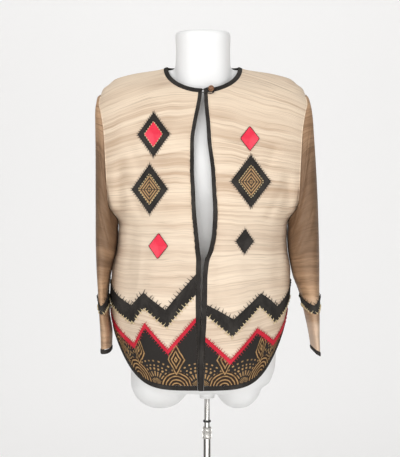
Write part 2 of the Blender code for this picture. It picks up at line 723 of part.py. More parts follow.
def make_panels():
    cloth("front_right", half_panel(WEARER_RIGHT, FRONT), "slub silk")
    cloth("front_left", half_panel(WEARER_LEFT, FRONT), "slub silk")
    cloth("back", both_halves(half_panel(WEARER_RIGHT, BACK), half_panel(WEARER_LEFT, BACK)), "slub silk")


def side_name(side):
    return "right" if side == WEARER_RIGHT else "left"


def make_sleeves():
    angles = sleeve_angles()
    rings = np.concatenate([[0, 0.5], np.linspace(1, CUFF_RING - CUFF_SEAM, SLEEVE_ROWS - 1)])[None, :]
    cuff = np.linspace(CUFF_RING, LAST_RING, 2)[None, :]
    sides = np.arange(len(angles))
    upper = np.interp(sides, SLEEVE_BAND["side"], SLEEVE_BAND["upper_ring"])
    lower = np.interp(sides, SLEEVE_BAND["side"], SLEEVE_BAND["lower_ring"])
    band = upper[:, None] + (lower - upper)[:, None] * np.linspace(0, 1, 3)
    for side in (WEARER_RIGHT, WEARER_LEFT):
        word = side_name(side)
        cloth("sleeve_" + word, sleeve_grid(side, angles, rings), "sleeve silk", closed=True)
        cloth("cuff_binding_" + word, sleeve_grid(side, angles, cuff), "black cotton", closed=True, **BOUND)
        cloth("sleeve_band_" + word, sleeve_grid(side, angles, band), "black cotton", closed=True, **LAID_ON)


def make_borders():
    """The chevron band, the red trim, the printed hem panel and the hem's binding on each panel."""
    inset = BINDING_WIDTH + SEAM
    layers = (
        # name, top line, bottom line, rows, finish
        ("chevron_band", ("band_top", 0.0), ("band_bottom", 0.0), 3, "black cotton"),
        ("red_trim", ("trim_top", 0.0), ("trim_top", TRIM_WIDTH), 1, "red cloth"),
        ("hem_panel", ("trim_top", TRIM_WIDTH + SEAM), None, 2, "printed cloth"),
    )
    for base, top, bottom, rows, finish in layers:
        grids = {}
        for face, side in CHEVRONS:
            upper = chevron_line(side, face, *top)
            lower = chevron_line(side, face, *bottom) if bottom else hem_line(inset)
            grids[(face, side)] = border_grid(side, face, upper, lower, rows, inset)
        cloth(base + "_right", grids[(FRONT, WEARER_RIGHT)], finish, **LAID_ON)
        cloth(base + "_left", grids[(FRONT, WEARER_LEFT)], finish, **LAID_ON)
        back = both_halves(grids[(BACK, WEARER_RIGHT)], grids[(BACK, WEARER_LEFT)])
        cloth(base + "_back", back, finish, **LAID_ON)


def make_bindings():
    """The bias binding of the hem, the front edges and the neck."""
    inset = BINDING_WIDTH + SEAM
    hems = {}
    for face, side in CHEVRONS:
        hems[(face, side)] = border_grid(side, face, hem_line(BINDING_WIDTH), hem_line(0.0), 1, inset)
    cloth("hem_binding_right", hems[(FRONT, WEARER_RIGHT)], "black cotton", **BOUND)
    cloth("hem_binding_left", hems[(FRONT, WEARER_LEFT)], "black cotton", **BOUND)
    back = both_halves(hems[(BACK, WEARER_RIGHT)], hems[(BACK, WEARER_LEFT)])
    cloth("hem_binding_back", back, "black cotton", **BOUND)
    for side in (WEARER_RIGHT, WEARER_LEFT):
        heights = np.concatenate([[HEM_CENTRE_Z], centre_heights(side, FRONT)])
        edge = front_edge(side, heights)
        grid = cloth_grid(side, FRONT, np.stack([edge, edge + BINDING_WIDTH]), np.stack([heights, heights]))
        cloth("front_binding_" + side_name(side), grid, "black cotton", **BOUND)
    cloth("neck_binding", neck_grid(), "black cotton", **BOUND)


def neck_grid():
    """The neck binding's strip, from one front edge round the back to the other."""
    angles = np.linspace(0, math.pi / 2, NECK_COLUMNS + 1)
    pieces = []
    for side, face, order in ((WEARER_RIGHT, FRONT, 1), (WEARER_RIGHT, BACK, -1),
                              (WEARER_LEFT, BACK, 1), (WEARER_LEFT, FRONT, -1)):
        lines = []
        for inset in (0.0, NECK_BINDING_WIDTH):
            curve = neck_curve(face, angles, inset)
            if face == FRONT:
                curve[0, 0] = front_edge(side, curve[0, 1])
            line = cloth_grid(side, face, curve[:, 0], curve[:, 1])
            line[-1, 1] = 0.0
            lines.append(line[::order])
        piece = np.stack(lines, axis=1)
        pieces.append(piece if not pieces else piece[1:])
    return np.concatenate(pieces)


def make_patches():
    cells = np.linspace(-1, 1, PATCH_CELLS + 1)
    p, q = np.meshgrid(cells, cells, indexing="ij")
    layers = {1: LAID_ON, 2: LAID_OVER}
    for name, side, x, z, half_width, half_height, layer, finish in PATCHES:
        grid = cloth_grid(side, FRONT, x + half_width * (p - q) / 2, z + half_height * (p + q) / 2)
        cloth(name, grid, finish, **layers[layer])


def over_binding(x, z, distance):
    """A point this far in front of the neck binding's face, at a place seen from the front."""
    side = WEARER_LEFT if x > 0 else WEARER_RIGHT
    point, direction = np.split(cloth_grid(side, FRONT, side * x, z), 2)
    return Vector(point + direction * (BOUND["outside"] + distance)) + Vector((GARMENT_X, 0, 0))


def make_button():
    bm = bmesh.new()
    bmesh.ops.create_uvsphere(bm, u_segments=20, v_segments=12, radius=BUTTON_RADIUS)
    bmesh.ops.translate(bm, verts=bm.verts, vec=over_binding(BUTTON_X, BUTTON_Z, BUTTON_RADIUS + SEAM))
    add_object("button", mesh_from("button", bm), "turned wood")
    turns = np.linspace(math.pi / 2, -math.pi / 2, 9)
    upper_start, lower_start = LOOP_START_Z
    route = [(LOOP_START_X, upper_start)]
    route += [(BUTTON_X + LOOP_BEND * math.cos(t), BUTTON_Z + LOOP_BEND * math.sin(t)) for t in turns]
    route += [(LOOP_START_X, lower_start)]
    curve = bpy.data.curves.new("button_loop", "CURVE")
    curve.dimensions = "3D"
    curve.bevel_depth = LOOP_RADIUS
    curve.bevel_resolution = 2
    curve.use_fill_caps = True
    line = curve.splines.new("POLY")
    line.points.add(len(route) - 1)
    for point, (x, z) in zip(line.points, route):
        point.co = (*over_binding(x, z, LOOP_GAP + LOOP_RADIUS), 1)
    curve.materials.append(material("black cotton"))
    made = bpy.data.objects.new("button_loop", curve)
    bpy.data.collections[COLLECTION].objects.link(made)


def loft(sections, sides):
    """A closed bmesh through sections: height, half width, front, back, middle x and middle y."""
    bm = bmesh.new()
    rings = []
    for height, half_width, front, back, middle_x, middle_y in sections:
        ring = []
        for k in range(sides):
            angle = 2 * math.pi * k / sides
            cosine = math.cos(angle)
            sine = math.sin(angle)
            x = math.copysign(abs(cosine) ** (2 / SECTION_POWER), cosine) * half_width
            y = math.copysign(abs(sine) ** (2 / SECTION_POWER), sine) * (back if sine > 0 else front)
            ring.append(bm.verts.new((middle_x + x + GARMENT_X, middle_y + y, height)))
        rings.append(ring)
    for low, high in zip(rings, rings[1:]):
        for k in range(sides):
            after = (k + 1) % sides
            bm.faces.new((low[k], low[after], high[after], high[k]))
    bm.faces.new(rings[0][::-1])
    bm.faces.new(rings[-1])
    bm.normal_update()
    return bm


def torso_sections():
    heights = np.concatenate([FORM["height"][:3], np.linspace(*FORM_BODY_Z, FORM_BODY_ROWS), FORM_SHOULDER_Z])
    sections = []
    for z in heights:
        if z <= FORM["height"][-1]:
            row = [float(smooth(FORM["height"], FORM[name], z)) for name in ("half_width", "front", "back")]
        else:
            row = [float(smooth(BODY["height"], BODY[name], z + FORM_SHOULDER_GAP))
                   for name in ("half_width", "front", "back")]
            row[0] = min(row[0], FORM["half_width"][-1])
            row[1] = row[1] * FORM_SHOULDER_SHARE
            row[2] = row[2] * FORM_SHOULDER_SHARE
        sections.append((z, *row, 0, 0))
    return sections


def neck_sections():
    return [(z, width, depth, depth, 0, NECK_MIDDLE_Y) for z, width, depth in zip(*NECK.values())]


def thigh_sections(middle_x, half_width, half_depth):
    sections = []
    for angle in np.linspace(0.12, math.pi / 2, 8):
        share = math.sin(angle)
        z = THIGH_BOTTOM_Z + THIGH_ROUNDING * (1 - math.cos(angle))
        sections.append((z, half_width * share, half_depth * share, half_depth * share, middle_x, 0))
    sections.append((THIGH_TOP_Z, half_width, half_depth, half_depth, middle_x, 0))
    return sections


def make_form():
    """The dress form: torso, flat-topped neck and two rounded thigh ends as one smooth piece."""
    torso = mesh_from("dress_form", loft(torso_sections(), FORM_SIDES))
    made = add_object("dress_form", torso, "form plastic")
    pieces = [("neck", neck_sections())]
    pieces += [(name, thigh_sections(*sizes)) for name, *sizes in THIGHS]
    for name, sections in pieces:
        mesh = mesh_from(name, loft(sections, FORM_SIDES))
        helper = bpy.data.objects.new(name, mesh)
        bpy.data.collections["joined_shapes"].objects.link(helper)
        helper.hide_render = True
        helper.display_type = "WIRE"
        join = made.modifiers.new(name, "BOOLEAN")
        join.operation = "UNION"
        join.object = helper


def turned(name, profile, finish, sides=TURNED_SIDES):
    """A turned piece from its profile of radius and height, down the outer side from the top."""
    bm = bmesh.new()
    verts = [bm.verts.new((radius, 0, height)) for radius, height in profile]
    for first, second in zip(verts, verts[1:]):
        bm.edges.new((first, second))
    if profile[0] == profile[-1]:
        bmesh.ops.remove_doubles(bm, verts=bm.verts, dist=1e-7)
    made = add_object(name, mesh_from(name, bm), finish)
    screw = made.modifiers.new("turning", "SCREW")
    screw.steps = sides
    screw.render_steps = sides
    screw.use_merge_vertices = True
    screw.merge_threshold = 0.00001
    screw.use_normal_calculate = True
    return made


def ring_profile(outer, inner, low, high, chamfer):
    """The closed outline of a ring, chamfered at its outer corners."""
    return [
        (inner, high), (outer - chamfer, high), (outer, high - chamfer), (outer, low + chamfer),
        (outer - chamfer, low), (inner, low), (inner, high),
    ]


def rod_profile(radius, low, high, chamfer):
    return [(0, high), (radius - chamfer, high), (radius, high - chamfer), (radius, low + chamfer),
            (radius - chamfer, low), (0, low)]


def make_stand():
    form_bottom = FORM["height"][0]
    socket_top = form_bottom - SEAM
    socket_bottom = socket_top - SOCKET_HEIGHT
    turned("pole_socket", rod_profile(SOCKET_RADIUS, socket_bottom, socket_top, 0.002), "form plastic")
    turned("pole_rod", rod_profile(ROD_RADIUS, ROD_BOTTOM_Z, socket_bottom - SEAM, 0.0008), "polished steel")
    ring_low = RING_Z - RING_HEIGHT / 2
    turned("stop_ring", ring_profile(RING_RADIUS, ROD_RADIUS + SEAM, ring_low, ring_low + RING_HEIGHT, 0.001),
           "black rubber")
    collar_top = TUBE_TOP_Z + 0.004
    turned("lock_collar",
           ring_profile(COLLAR_RADIUS, TUBE_RADIUS + SEAM, collar_top - COLLAR_HEIGHT, collar_top, 0.002),
           "polished steel")
    plate_top = BASE_HEIGHT + SEAM
    turned("pole_tube", ring_profile(TUBE_RADIUS, TUBE_BORE, plate_top, TUBE_TOP_Z, 0.0004), "polished steel")
    bore = TUBE_RADIUS + SEAM
    turned("base_hub", [(bore, plate_top + HUB_HEIGHT), (bore + 0.004, plate_top + HUB_HEIGHT),
                        (bore + 0.006, plate_top + HUB_HEIGHT - 0.003), (bore + 0.008, plate_top + 0.012),
                        (HUB_RADIUS, plate_top + 0.003), (HUB_RADIUS, plate_top), (bore, plate_top),
                        (bore, plate_top + HUB_HEIGHT)], "polished steel")
    turned("base_plate", rod_profile(BASE_RADIUS, 0.0, BASE_HEIGHT, BASE_EDGE), "polished steel", BASE_SIDES)


def main():
    for old in list(bpy.data.objects):
        bpy.data.objects.remove(old)
    for name in (COLLECTION, "joined_shapes"):
        made = bpy.data.collections.new(name)
        bpy.context.scene.collection.children.link(made)
    make_panels()
    make_sleeves()
    make_borders()
    make_bindings()
    make_patches()
    make_button()
    make_form()
    make_stand()


main()
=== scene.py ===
"""An open-front collarless jacket of slubbed silk on a limbless dress form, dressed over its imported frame.

Metres, +Z up, the jacket's front towards -Y and the wearer's right towards -X.
"""
import math

import bpy
import numpy as np
from bpy.props import FloatProperty, FloatVectorProperty, IntProperty, PointerProperty
from bpy.types import Operator, Panel, PropertyGroup
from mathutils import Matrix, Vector


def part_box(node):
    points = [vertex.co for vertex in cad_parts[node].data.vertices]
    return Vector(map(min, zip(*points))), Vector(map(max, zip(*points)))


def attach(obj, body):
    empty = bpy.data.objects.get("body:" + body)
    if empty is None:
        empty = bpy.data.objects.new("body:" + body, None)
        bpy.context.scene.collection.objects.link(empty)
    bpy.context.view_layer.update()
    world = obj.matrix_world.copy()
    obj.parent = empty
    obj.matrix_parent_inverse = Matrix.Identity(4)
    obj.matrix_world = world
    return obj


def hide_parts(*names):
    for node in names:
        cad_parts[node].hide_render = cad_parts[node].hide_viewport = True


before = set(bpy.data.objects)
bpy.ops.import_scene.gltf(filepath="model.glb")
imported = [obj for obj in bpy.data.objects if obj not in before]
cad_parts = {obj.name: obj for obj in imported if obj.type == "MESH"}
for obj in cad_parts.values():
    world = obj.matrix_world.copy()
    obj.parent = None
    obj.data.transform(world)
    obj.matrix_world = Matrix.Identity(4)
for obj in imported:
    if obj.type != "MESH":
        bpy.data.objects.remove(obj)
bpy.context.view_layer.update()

bl_info = {
    "name": "Open-front jacket",
    "version": (1, 0, 0),
    "blender": (4, 5, 0),
    "location": "3D View > Sidebar > Jacket",
    "description": "A silk jacket with zigzag borders on a dress form, piece by piece",
    "category": "Add Mesh",
}

WEARER_RIGHT = -1
WEARER_LEFT = 1
FRONT = -1
BACK = 1
SIDES = {WEARER_RIGHT: "right", WEARER_LEFT: "left"}
REACH = {FRONT: "front", BACK: "back"}
HALVES = [(face, side) for face in (FRONT, BACK) for side in SIDES]

# Cut of the jacket, in metres
SEAM = 0.0003
NECK_BINDING_WIDTH = 0.009
BINDING_INSIDE = 0.0003
BINDING_SIDES = 20
BINDING_SQUARENESS = 0.72
OVERLAY_GAP = 0.0005
OVERLAY = 0.0010
INSET = 0.0008
TRIM_WIDTH = 0.010
GARMENT_X = -0.0088
NECK_HALF_WIDTH = 0.077
NECK_POINT_Z = 1.361
NECK_DROP = 0.056
BACK_NECK_RISE = 0.009
SHOULDER_TIP_Z = 1.3007
UNDERARM_Z = 1.017
ARMHOLE_HALF_DEPTH = 0.070
HEM_CENTRE_Z = 0.669
HEM_SIDE_RISE = 0.126
HEM_RISE_POWER = 5
UNDERARM_V = 0.547
SECTION_POWER = 2.2
LAP_DEPTH = 0.0044
LAP_WIDTH = 0.06
LAP_TOP_Z = 0.900
LAP_FULL_Z = 0.790
SLOPE_STEP = 0.002
SLEEVE_STEP = 0.01
SEAM_EASE = 0.02
UPPER_ROW_POWER = 1.6
NECK_SHARE = {FRONT: 6 / 14, BACK: 6 / 13}
LAST_RING = 11
BULGE_END_RING = 5
CUFF_RING = 10.75
CUFF_SEAM = 0.024
SLEEVE_SQUARENESS = 2.5
SLEEVE_SEAM = 0.0010
UNDERARM_SEAM = 0.0046
BAND_SIDES = 11
# Heights of the sleeves' band of painted shade, partly the silk's own darker tone: where it begins, is full, is still
# full and ends
SLEEVE_TONE_AND_PAINTED_SHADE = (0.86, 0.97, 1.13, 1.24)


def table(columns, rows):
    """A short table as a dict of one array for each named column, lowest first in its first column."""
    values = np.array(rows, float).T
    order = np.argsort(values[0], kind="stable")
    return {name: column[order] for name, column in zip(columns.split(), values)}


# The cloth's inner surface: half width, depth in front and behind, and how far its middle stands to one side
BODY = table("height half_width front back shift", [
    (0.640, 0.171, 0.140, 0.128, -0.0100),
    (0.720, 0.179, 0.139, 0.127, -0.0100),
    (0.760, 0.183, 0.138, 0.126, -0.0098),
    (0.800, 0.187, 0.137, 0.125, -0.0092),
    (0.830, 0.191, 0.135, 0.123, -0.0085),
    (0.870, 0.195, 0.133, 0.121, -0.0062),
    (0.915, 0.1945, 0.131, 0.119, -0.0040),
    (0.960, 0.186, 0.129, 0.117, -0.0020),
    (0.990, 0.1835, 0.128, 0.116, -0.0008),
    (1.017, 0.1835, 0.128, 0.116, 0.0),
    (1.060, 0.217, 0.127, 0.116, 0.0),
    (1.125, 0.237, 0.126, 0.118, 0.0),
    (1.180, 0.245, 0.122, 0.116, 0.0),
    (1.230, 0.246, 0.112, 0.110, 0.0),
    (1.270, 0.243, 0.098, 0.102, 0.0),
    (1.3007, 0.2233, 0.0825, 0.093, 0.0),
    (1.3117, 0.2190, 0.0715, 0.0885, 0.0),
    (1.3227, 0.2057, 0.0570, 0.083, 0.0),
    (1.3337, 0.1925, 0.0415, 0.078, 0.0),
    (1.3447, 0.1560, 0.0260, 0.072, 0.0),
    (1.3557, 0.0920, 0.0110, 0.066, 0.0),
    (1.3610, 0.0770, 0.0040, 0.064, 0.0),
    (1.3660, 0.0720, 0.0030, 0.062, 0.0),
    (1.3720, 0.0620, 0.0030, 0.060, 0.0),
])

FRONT_EDGES = table("height right_front left_front", [
    (0.640, -0.0010, -0.0095),
    (0.720, -0.0015, -0.0085),
    (0.780, -0.0030, -0.0055),
    (0.820, -0.0052, -0.0030),
    (0.860, -0.0055, -0.0020),
    (0.900, -0.0052, -0.0014),
    (0.920, -0.0050, 0.0000),
    (0.940, -0.0045, 0.0030),
    (0.960, -0.0066, 0.0110),
    (1.000, -0.0108, 0.0186),
    (1.045, -0.0150, 0.0207),
    (1.090, -0.0171, 0.0186),
    (1.130, -0.0192, 0.0165),
    (1.190, -0.0192, 0.0090),
    (1.235, -0.0129, 0.0060),
    (1.255, -0.0087, 0.0039),
    (1.290, -0.0030, 0.0018),
    (1.310, -0.0015, 0.0012),
])

# Folds of the body: a line of cloth from one point to another, drawn in by a depth over a width
FOLDS = table("side face x_top z_top x_bottom z_bottom width depth", [
    (-1, -1, 0.176, 1.150, 0.182, 1.020, 0.012, 0.007),
    (-1, -1, 0.172, 1.090, 0.188, 0.985, 0.012, 0.004),
    (1, -1, 0.180, 1.125, 0.182, 1.030, 0.012, 0.007),
    (1, -1, 0.168, 1.070, 0.182, 0.960, 0.014, 0.004),
    (-1, 1, 0.168, 1.150, 0.172, 1.000, 0.014, 0.008),
    (1, 1, 0.170, 1.140, 0.168, 0.980, 0.014, 0.008),
    (-1, 1, 0.070, 1.060, 0.090, 0.740, 0.045, 0.006),
    (1, 1, 0.060, 1.000, 0.080, 0.720, 0.045, 0.006),
])

# Small creases, as the folds above, with a depth below 0 where the cloth stands proud
CREASES = table("side face x_top z_top x_bottom z_bottom width depth", [
    (-1, -1, 0.155, 1.185, 0.120, 1.090, 0.010, 0.0022),
    (-1, -1, 0.168, 1.120, 0.128, 1.030, 0.009, 0.0024),
    (-1, -1, 0.150, 1.020, 0.156, 0.900, 0.010, 0.0022),
    (-1, -1, 0.062, 1.240, 0.070, 1.000, 0.022, -0.0024),
    (-1, -1, 0.128, 0.990, 0.132, 0.870, 0.008, -0.0016),
    (-1, -1, 0.045, 0.985, 0.055, 0.745, 0.016, 0.0028),
    (-1, -1, 0.100, 0.960, 0.112, 0.720, 0.020, -0.0030),
    (-1, -1, 0.150, 0.900, 0.158, 0.730, 0.014, 0.0026),
    (1, -1, 0.158, 1.190, 0.122, 1.100, 0.011, 0.0024),
    (1, -1, 0.172, 1.105, 0.134, 1.020, 0.010, 0.0028),
    (1, -1, 0.060, 1.235, 0.064, 1.000, 0.022, -0.0022),
    (1, -1, 0.160, 1.000, 0.162, 0.880, 0.011, 0.0022),
    (1, -1, 0.030, 1.060, 0.046, 0.760, 0.012, 0.0024),
    (1, -1, 0.078, 0.960, 0.088, 0.720, 0.020, -0.0030),
    (1, -1, 0.128, 0.900, 0.140, 0.740, 0.015, 0.0028),
    (-1, 1, 0.140, 1.240, 0.100, 1.120, 0.014, 0.0026),
    (1, 1, 0.140, 1.240, 0.104, 1.120, 0.014, 0.0026),
    (-1, 1, 0.030, 0.960, 0.040, 0.740, 0.020, -0.0026),
    (1, 1, 0.030, 0.960, 0.034, 0.740, 0.020, -0.0026),
    (-1, 1, 0.130, 0.980, 0.140, 0.760, 0.018, 0.0030),
    (1, 1, 0.126, 0.980, 0.134, 0.760, 0.018, 0.0030),
])

# Level ripples where the silk puckers: height, wave length, depth, how far they slant, and their place in the wave
RIPPLES = table("height spread wave depth slant turn", [
    (1.235, 0.060, 0.034, 0.0009, 0.10, 0.4),
    (1.130, 0.070, 0.023, 0.0008, -0.08, 1.9),
    (1.010, 0.060, 0.0160, 0.0009, 0.06, 0.3),
    (0.935, 0.055, 0.0118, 0.0009, -0.10, 2.2),
    (0.890, 0.050, 0.0102, 0.0008, 0.12, 1.1),
])

SLEEVE_COLUMNS = "ring inner_x inner_z outer_x outer_z half_depth middle_y"
SLEEVES = {
    WEARER_RIGHT: table(SLEEVE_COLUMNS, [
        (0, 0.1881, 1.017, 0.2237, 1.3007, 0.0700, 0.000),
        (1, 0.1890, 1.010, 0.2305, 1.294, 0.0702, 0.000),
        (2, 0.1890, 1.002, 0.2330, 1.270, 0.0706, 0.000),
        (3, 0.1885, 0.990, 0.2332, 1.200, 0.0720, 0.000),
        (4, 0.1900, 0.974, 0.2332, 1.120, 0.0750, -0.002),
        (5, 0.1930, 0.954, 0.2328, 1.045, 0.0775, -0.004),
        (6, 0.1987, 0.930, 0.2320, 0.975, 0.0785, -0.006),
        (7, 0.2045, 0.908, 0.2300, 0.925, 0.0775, -0.008),
        (8, 0.2090, 0.868, 0.2265, 0.873, 0.0740, -0.010),
        (9, 0.2078, 0.823, 0.2235, 0.823, 0.0700, -0.013),
        (10, 0.2010, 0.778, 0.2210, 0.778, 0.0655, -0.016),
        (11, 0.2020, 0.740, 0.2195, 0.738, 0.0620, -0.019),
    ]),
    WEARER_LEFT: table(SLEEVE_COLUMNS, [
        (0, 0.1881, 1.017, 0.2237, 1.3007, 0.0700, 0.000),
        (1, 0.1890, 1.010, 0.2290, 1.296, 0.0702, 0.000),
        (2, 0.1884, 1.002, 0.2370, 1.268, 0.0706, 0.000),
        (3, 0.1872, 0.990, 0.2425, 1.200, 0.0720, 0.000),
        (4, 0.1876, 0.974, 0.2470, 1.120, 0.0750, -0.002),
        (5, 0.1895, 0.953, 0.2500, 1.045, 0.0775, -0.004),
        (6, 0.1937, 0.930, 0.2515, 0.975, 0.0785, -0.006),
        (7, 0.1990, 0.905, 0.2520, 0.925, 0.0775, -0.008),
        (8, 0.2130, 0.868, 0.2515, 0.873, 0.0740, -0.010),
        (9, 0.2240, 0.825, 0.2515, 0.823, 0.0700, -0.013),
        (10, 0.2345, 0.777, 0.2510, 0.770, 0.0655, -0.016),
        (11, 0.2400, 0.742, 0.2515, 0.731, 0.0620, -0.019),
    ]),
}

# Sleeve folds: a ring of cloth that leans from front to back and is drawn in, reaching so far round its middle
SLEEVE_FOLDS = table("side ring lean width depth middle reach", [
    (1, 3.1, 0.55, 0.30, 0.0045, 90, 75),
    (1, 4.4, -0.50, 0.34, 0.0040, 90, 75),
    (1, 5.6, 0.40, 0.30, 0.0050, 90, 75),
    (-1, 4.0, -0.45, 0.32, 0.0030, 90, 75),
    (-1, 5.4, 0.40, 0.32, 0.0040, 90, 75),
    (1, 5.0, 0.40, 0.30, 0.0040, 270, 75),
    (-1, 5.0, 0.40, 0.30, 0.0040, 270, 75),
    (1, 2.5, 0.80, 0.13, 0.0022, 80, 55),
    (1, 3.8, -0.70, 0.14, 0.0026, 95, 50),
    (1, 4.9, 0.60, 0.13, 0.0024, 85, 55),
    (1, 6.5, -0.40, 0.15, 0.0022, 90, 60),
    (1, 7.4, 0.35, 0.13, 0.0018, 80, 55),
    (1, 9.7, -0.30, 0.14, 0.0016, 90, 60),
    (-1, 2.8, 0.70, 0.14, 0.0022, 95, 55),
    (-1, 3.5, -0.60, 0.13, 0.0024, 85, 55),
    (-1, 4.7, 0.55, 0.14, 0.0026, 90, 50),
    (-1, 6.3, -0.40, 0.15, 0.0020, 90, 60),
    (-1, 7.3, 0.35, 0.13, 0.0018, 95, 55),
    (-1, 9.8, 0.30, 0.14, 0.0016, 85, 60),
    (1, 3.4, 0.60, 0.14, 0.0024, 265, 55),
    (1, 6.4, -0.40, 0.15, 0.0022, 270, 60),
    (-1, 3.4, -0.60, 0.14, 0.0024, 275, 55),
    (-1, 6.4, 0.40, 0.15, 0.0022, 270, 60),
])

# The zigzag border on each half, from centre (0) to side seam (1)
ZIGZAGS = {
    (FRONT, WEARER_RIGHT): table("across band_top band_bottom trim_top", [
        (0.00, 0.911, 0.8685, 0.8210),
        (0.22, 0.836, 0.7990, 0.7540),
        (0.40, 0.872, 0.8400, 0.8085),
        (0.52, 0.844, 0.8060, 0.7640),
        (1.00, 0.896, 0.8630, 0.8330),
    ]),
    (FRONT, WEARER_LEFT): table("across band_top band_bottom trim_top", [
        (0.00, 0.8475, 0.8250, 0.7810),
        (0.21, 0.8170, 0.7800, 0.7330),
        (0.43, 0.8700, 0.8420, 0.7965),
        (0.64, 0.8410, 0.8060, 0.7680),
        (1.00, 0.8960, 0.8630, 0.8330),
    ]),
    (BACK, WEARER_RIGHT): table("across band_top band_bottom trim_top", [
        (0.00, 0.885, 0.8500, 0.8100),
        (0.25, 0.835, 0.7990, 0.7540),
        (0.50, 0.880, 0.8440, 0.8000),
        (0.75, 0.848, 0.8150, 0.7900),
        (1.00, 0.896, 0.8630, 0.8330),
    ]),
}
ZIGZAGS[(BACK, WEARER_LEFT)] = ZIGZAGS[(BACK, WEARER_RIGHT)]

# The sleeve's zigzag, by ring, at so many sides round it from the underarm
SLEEVE_ZIGZAG = table("side upper_ring lower_ring", [
    (0, 8.20, 8.60),
    (4, 8.60, 9.00),
    (7, 8.20, 8.60),
    (11, 8.60, 9.00),
    (15, 8.20, 8.60),
    (18, 8.60, 9.00),
    (22, 8.20, 8.60),
])

LOZENGES = (
    # piece, CAD node, side, x, z, half width, half height, layer, finish
    ("lozenge_right_upper", "patch_right_upper", -1, 0.104, 1.205, 0.034, 0.047, 1, "black_cotton"),
    ("lozenge_right_upper_inset", "inset_right_upper", -1, 0.104, 1.205, 0.019, 0.027, 2, "red_cloth"),
    ("lozenge_right_middle", "patch_right_middle", -1, 0.112, 1.090, 0.038, 0.052, 1, "black_cotton"),
    ("lozenge_right_middle_inset", "inset_right_middle", -1, 0.112, 1.090, 0.023, 0.032, 2, "printed_cloth"),
    ("lozenge_right_lower", "patch_right_lower", -1, 0.092, 0.970, 0.020, 0.027, 1, "red_cloth"),
    ("lozenge_left_upper", "patch_left_upper", 1, 0.098, 1.196, 0.020, 0.026, 1, "red_cloth"),
    ("lozenge_left_middle", "patch_left_middle", 1, 0.100, 1.106, 0.042, 0.055, 1, "black_cotton"),
    ("lozenge_left_middle_inset", "inset_left_middle", 1, 0.100, 1.106, 0.026, 0.034, 2, "printed_cloth"),
    ("lozenge_left_lower", "patch_left_lower", 1, 0.088, 0.980, 0.019, 0.026, 1, "black_cotton"),
)

BUTTON_RADIUS = 0.0076
BUTTON_X = 0.0168
BUTTON_Z = 1.2992
LOOP_RADIUS = 0.0011
LOOP_BEND = 0.0068
LOOP_START_X = -0.0055
LOOP_START_Z = (1.3000, 1.2945)
LOOP_GAP = 0.0005

FORM = table("height half_width front back", [
    (0.648, 0.060, 0.040, 0.040),
    (0.652, 0.110, 0.072, 0.070),
    (0.672, 0.148, 0.098, 0.093),
    (0.720, 0.160, 0.108, 0.100),
    (0.800, 0.158, 0.106, 0.100),
    (0.880, 0.145, 0.096, 0.092),
    (0.960, 0.131, 0.090, 0.086),
    (1.030, 0.131, 0.094, 0.086),
    (1.100, 0.148, 0.108, 0.092),
    (1.150, 0.160, 0.112, 0.096),
    (1.200, 0.170, 0.104, 0.096),
    (1.250, 0.182, 0.088, 0.090),
    (1.285, 0.190, 0.072, 0.080),
    (1.310, 0.190, 0.058, 0.066),
])
FORM_SHOULDER_GAP = 0.0008
FORM_SHOULDER_SHARE = 0.64
FORM_SHOULDER_TOP_Z = 1.3555
NECK = table("height half_width half_depth", [
    (1.270, 0.070, 0.056),
    (1.330, 0.062, 0.052),
    (1.360, 0.0605, 0.050),
    (1.400, 0.0595, 0.050),
    (1.430, 0.0610, 0.051),
    (1.437, 0.0590, 0.049),
])
NECK_MIDDLE_Y = -0.008
NECK_EDGE = 0.004
NECK_EDGE_SHRINK = 0.045
THIGHS = (
    # middle x, half width, half depth
    (-0.0935, 0.065, 0.080),
    (0.0770, 0.053, 0.078),
)
THIGH_TOP_Z = 0.760
THIGH_BOTTOM_Z = 0.612
THIGH_ROUNDING = 0.060


def smooth(heights, values, z):
    """A curve through the table's values that never overshoots them."""
    z = np.clip(np.asarray(z, float), heights[0], heights[-1])
    step = np.diff(heights)
    slope = np.diff(values) / step
    before, after = slope[:-1], slope[1:]
    product = before * after
    total = before + after
    inner = np.where(product > 0, 2 * product / np.where(total == 0, 1, total), 0)
    tangent = np.concatenate([slope[:1], inner, slope[-1:]])
    index = np.clip(np.searchsorted(heights, z, side="right") - 1, 0, len(step) - 1)
    t = (z - heights[index]) / step[index]
    rise = values[index + 1] - values[index]
    start = tangent[index] * step[index]
    end = tangent[index + 1] * step[index]
    return values[index] + t * t * (3 - 2 * t) * rise + t * (1 - t) ** 2 * start - t * t * (1 - t) * end


def step_between(low, high, value):
    """0 below low, 1 above high and an even turn between them."""
    t = np.clip((value - low) / (high - low), 0, 1)
    return t * t * (3 - 2 * t)


def drawn_in(lines, side, face, x, z):
    """How far the folds of a table draw the cloth in at a place."""
    total = np.zeros(np.broadcast(x, z).shape)
    for row in zip(*lines.values()):
        fold_side, fold_face, x_top, z_top, x_bottom, z_bottom, width, depth = row
        if fold_side != side or fold_face != face:
            continue
        along = (z_top - z) / (z_top - z_bottom)
        middle = x_top + (x_bottom - x_top) * along
        ends = step_between(-0.15, 0.25, along) * (1 - step_between(0.75, 1.15, along))
        total = total + depth * ends * np.exp(-((x - middle) / width) ** 2)
    return total


def rippled(side, x, z):
    """How far the level ripples draw the cloth in at a place."""
    total = np.zeros(np.broadcast(x, z).shape)
    for height, spread, wave, depth, slant, turn in zip(*RIPPLES.values()):
        near = np.exp(-((z - height) / spread) ** 2)
        uneven = 0.55 + 0.45 * np.sin(23 * x * side + 9 * turn + 31 * z)
        phase = (z + slant * x * side + 0.0035 * np.sin(41 * x + turn)) / wave
        total = total + depth * near * uneven * np.sin(2 * math.pi * phase + turn)
    return total


def body_size(name, z):
    """One of the body's sizes at a height."""
    return smooth(BODY["height"], BODY[name], z)


def rounded(share):
    """How much of its depth a level section has at this share of its width, or the other way about."""
    return (1 - share ** SECTION_POWER) ** (1 / SECTION_POWER)


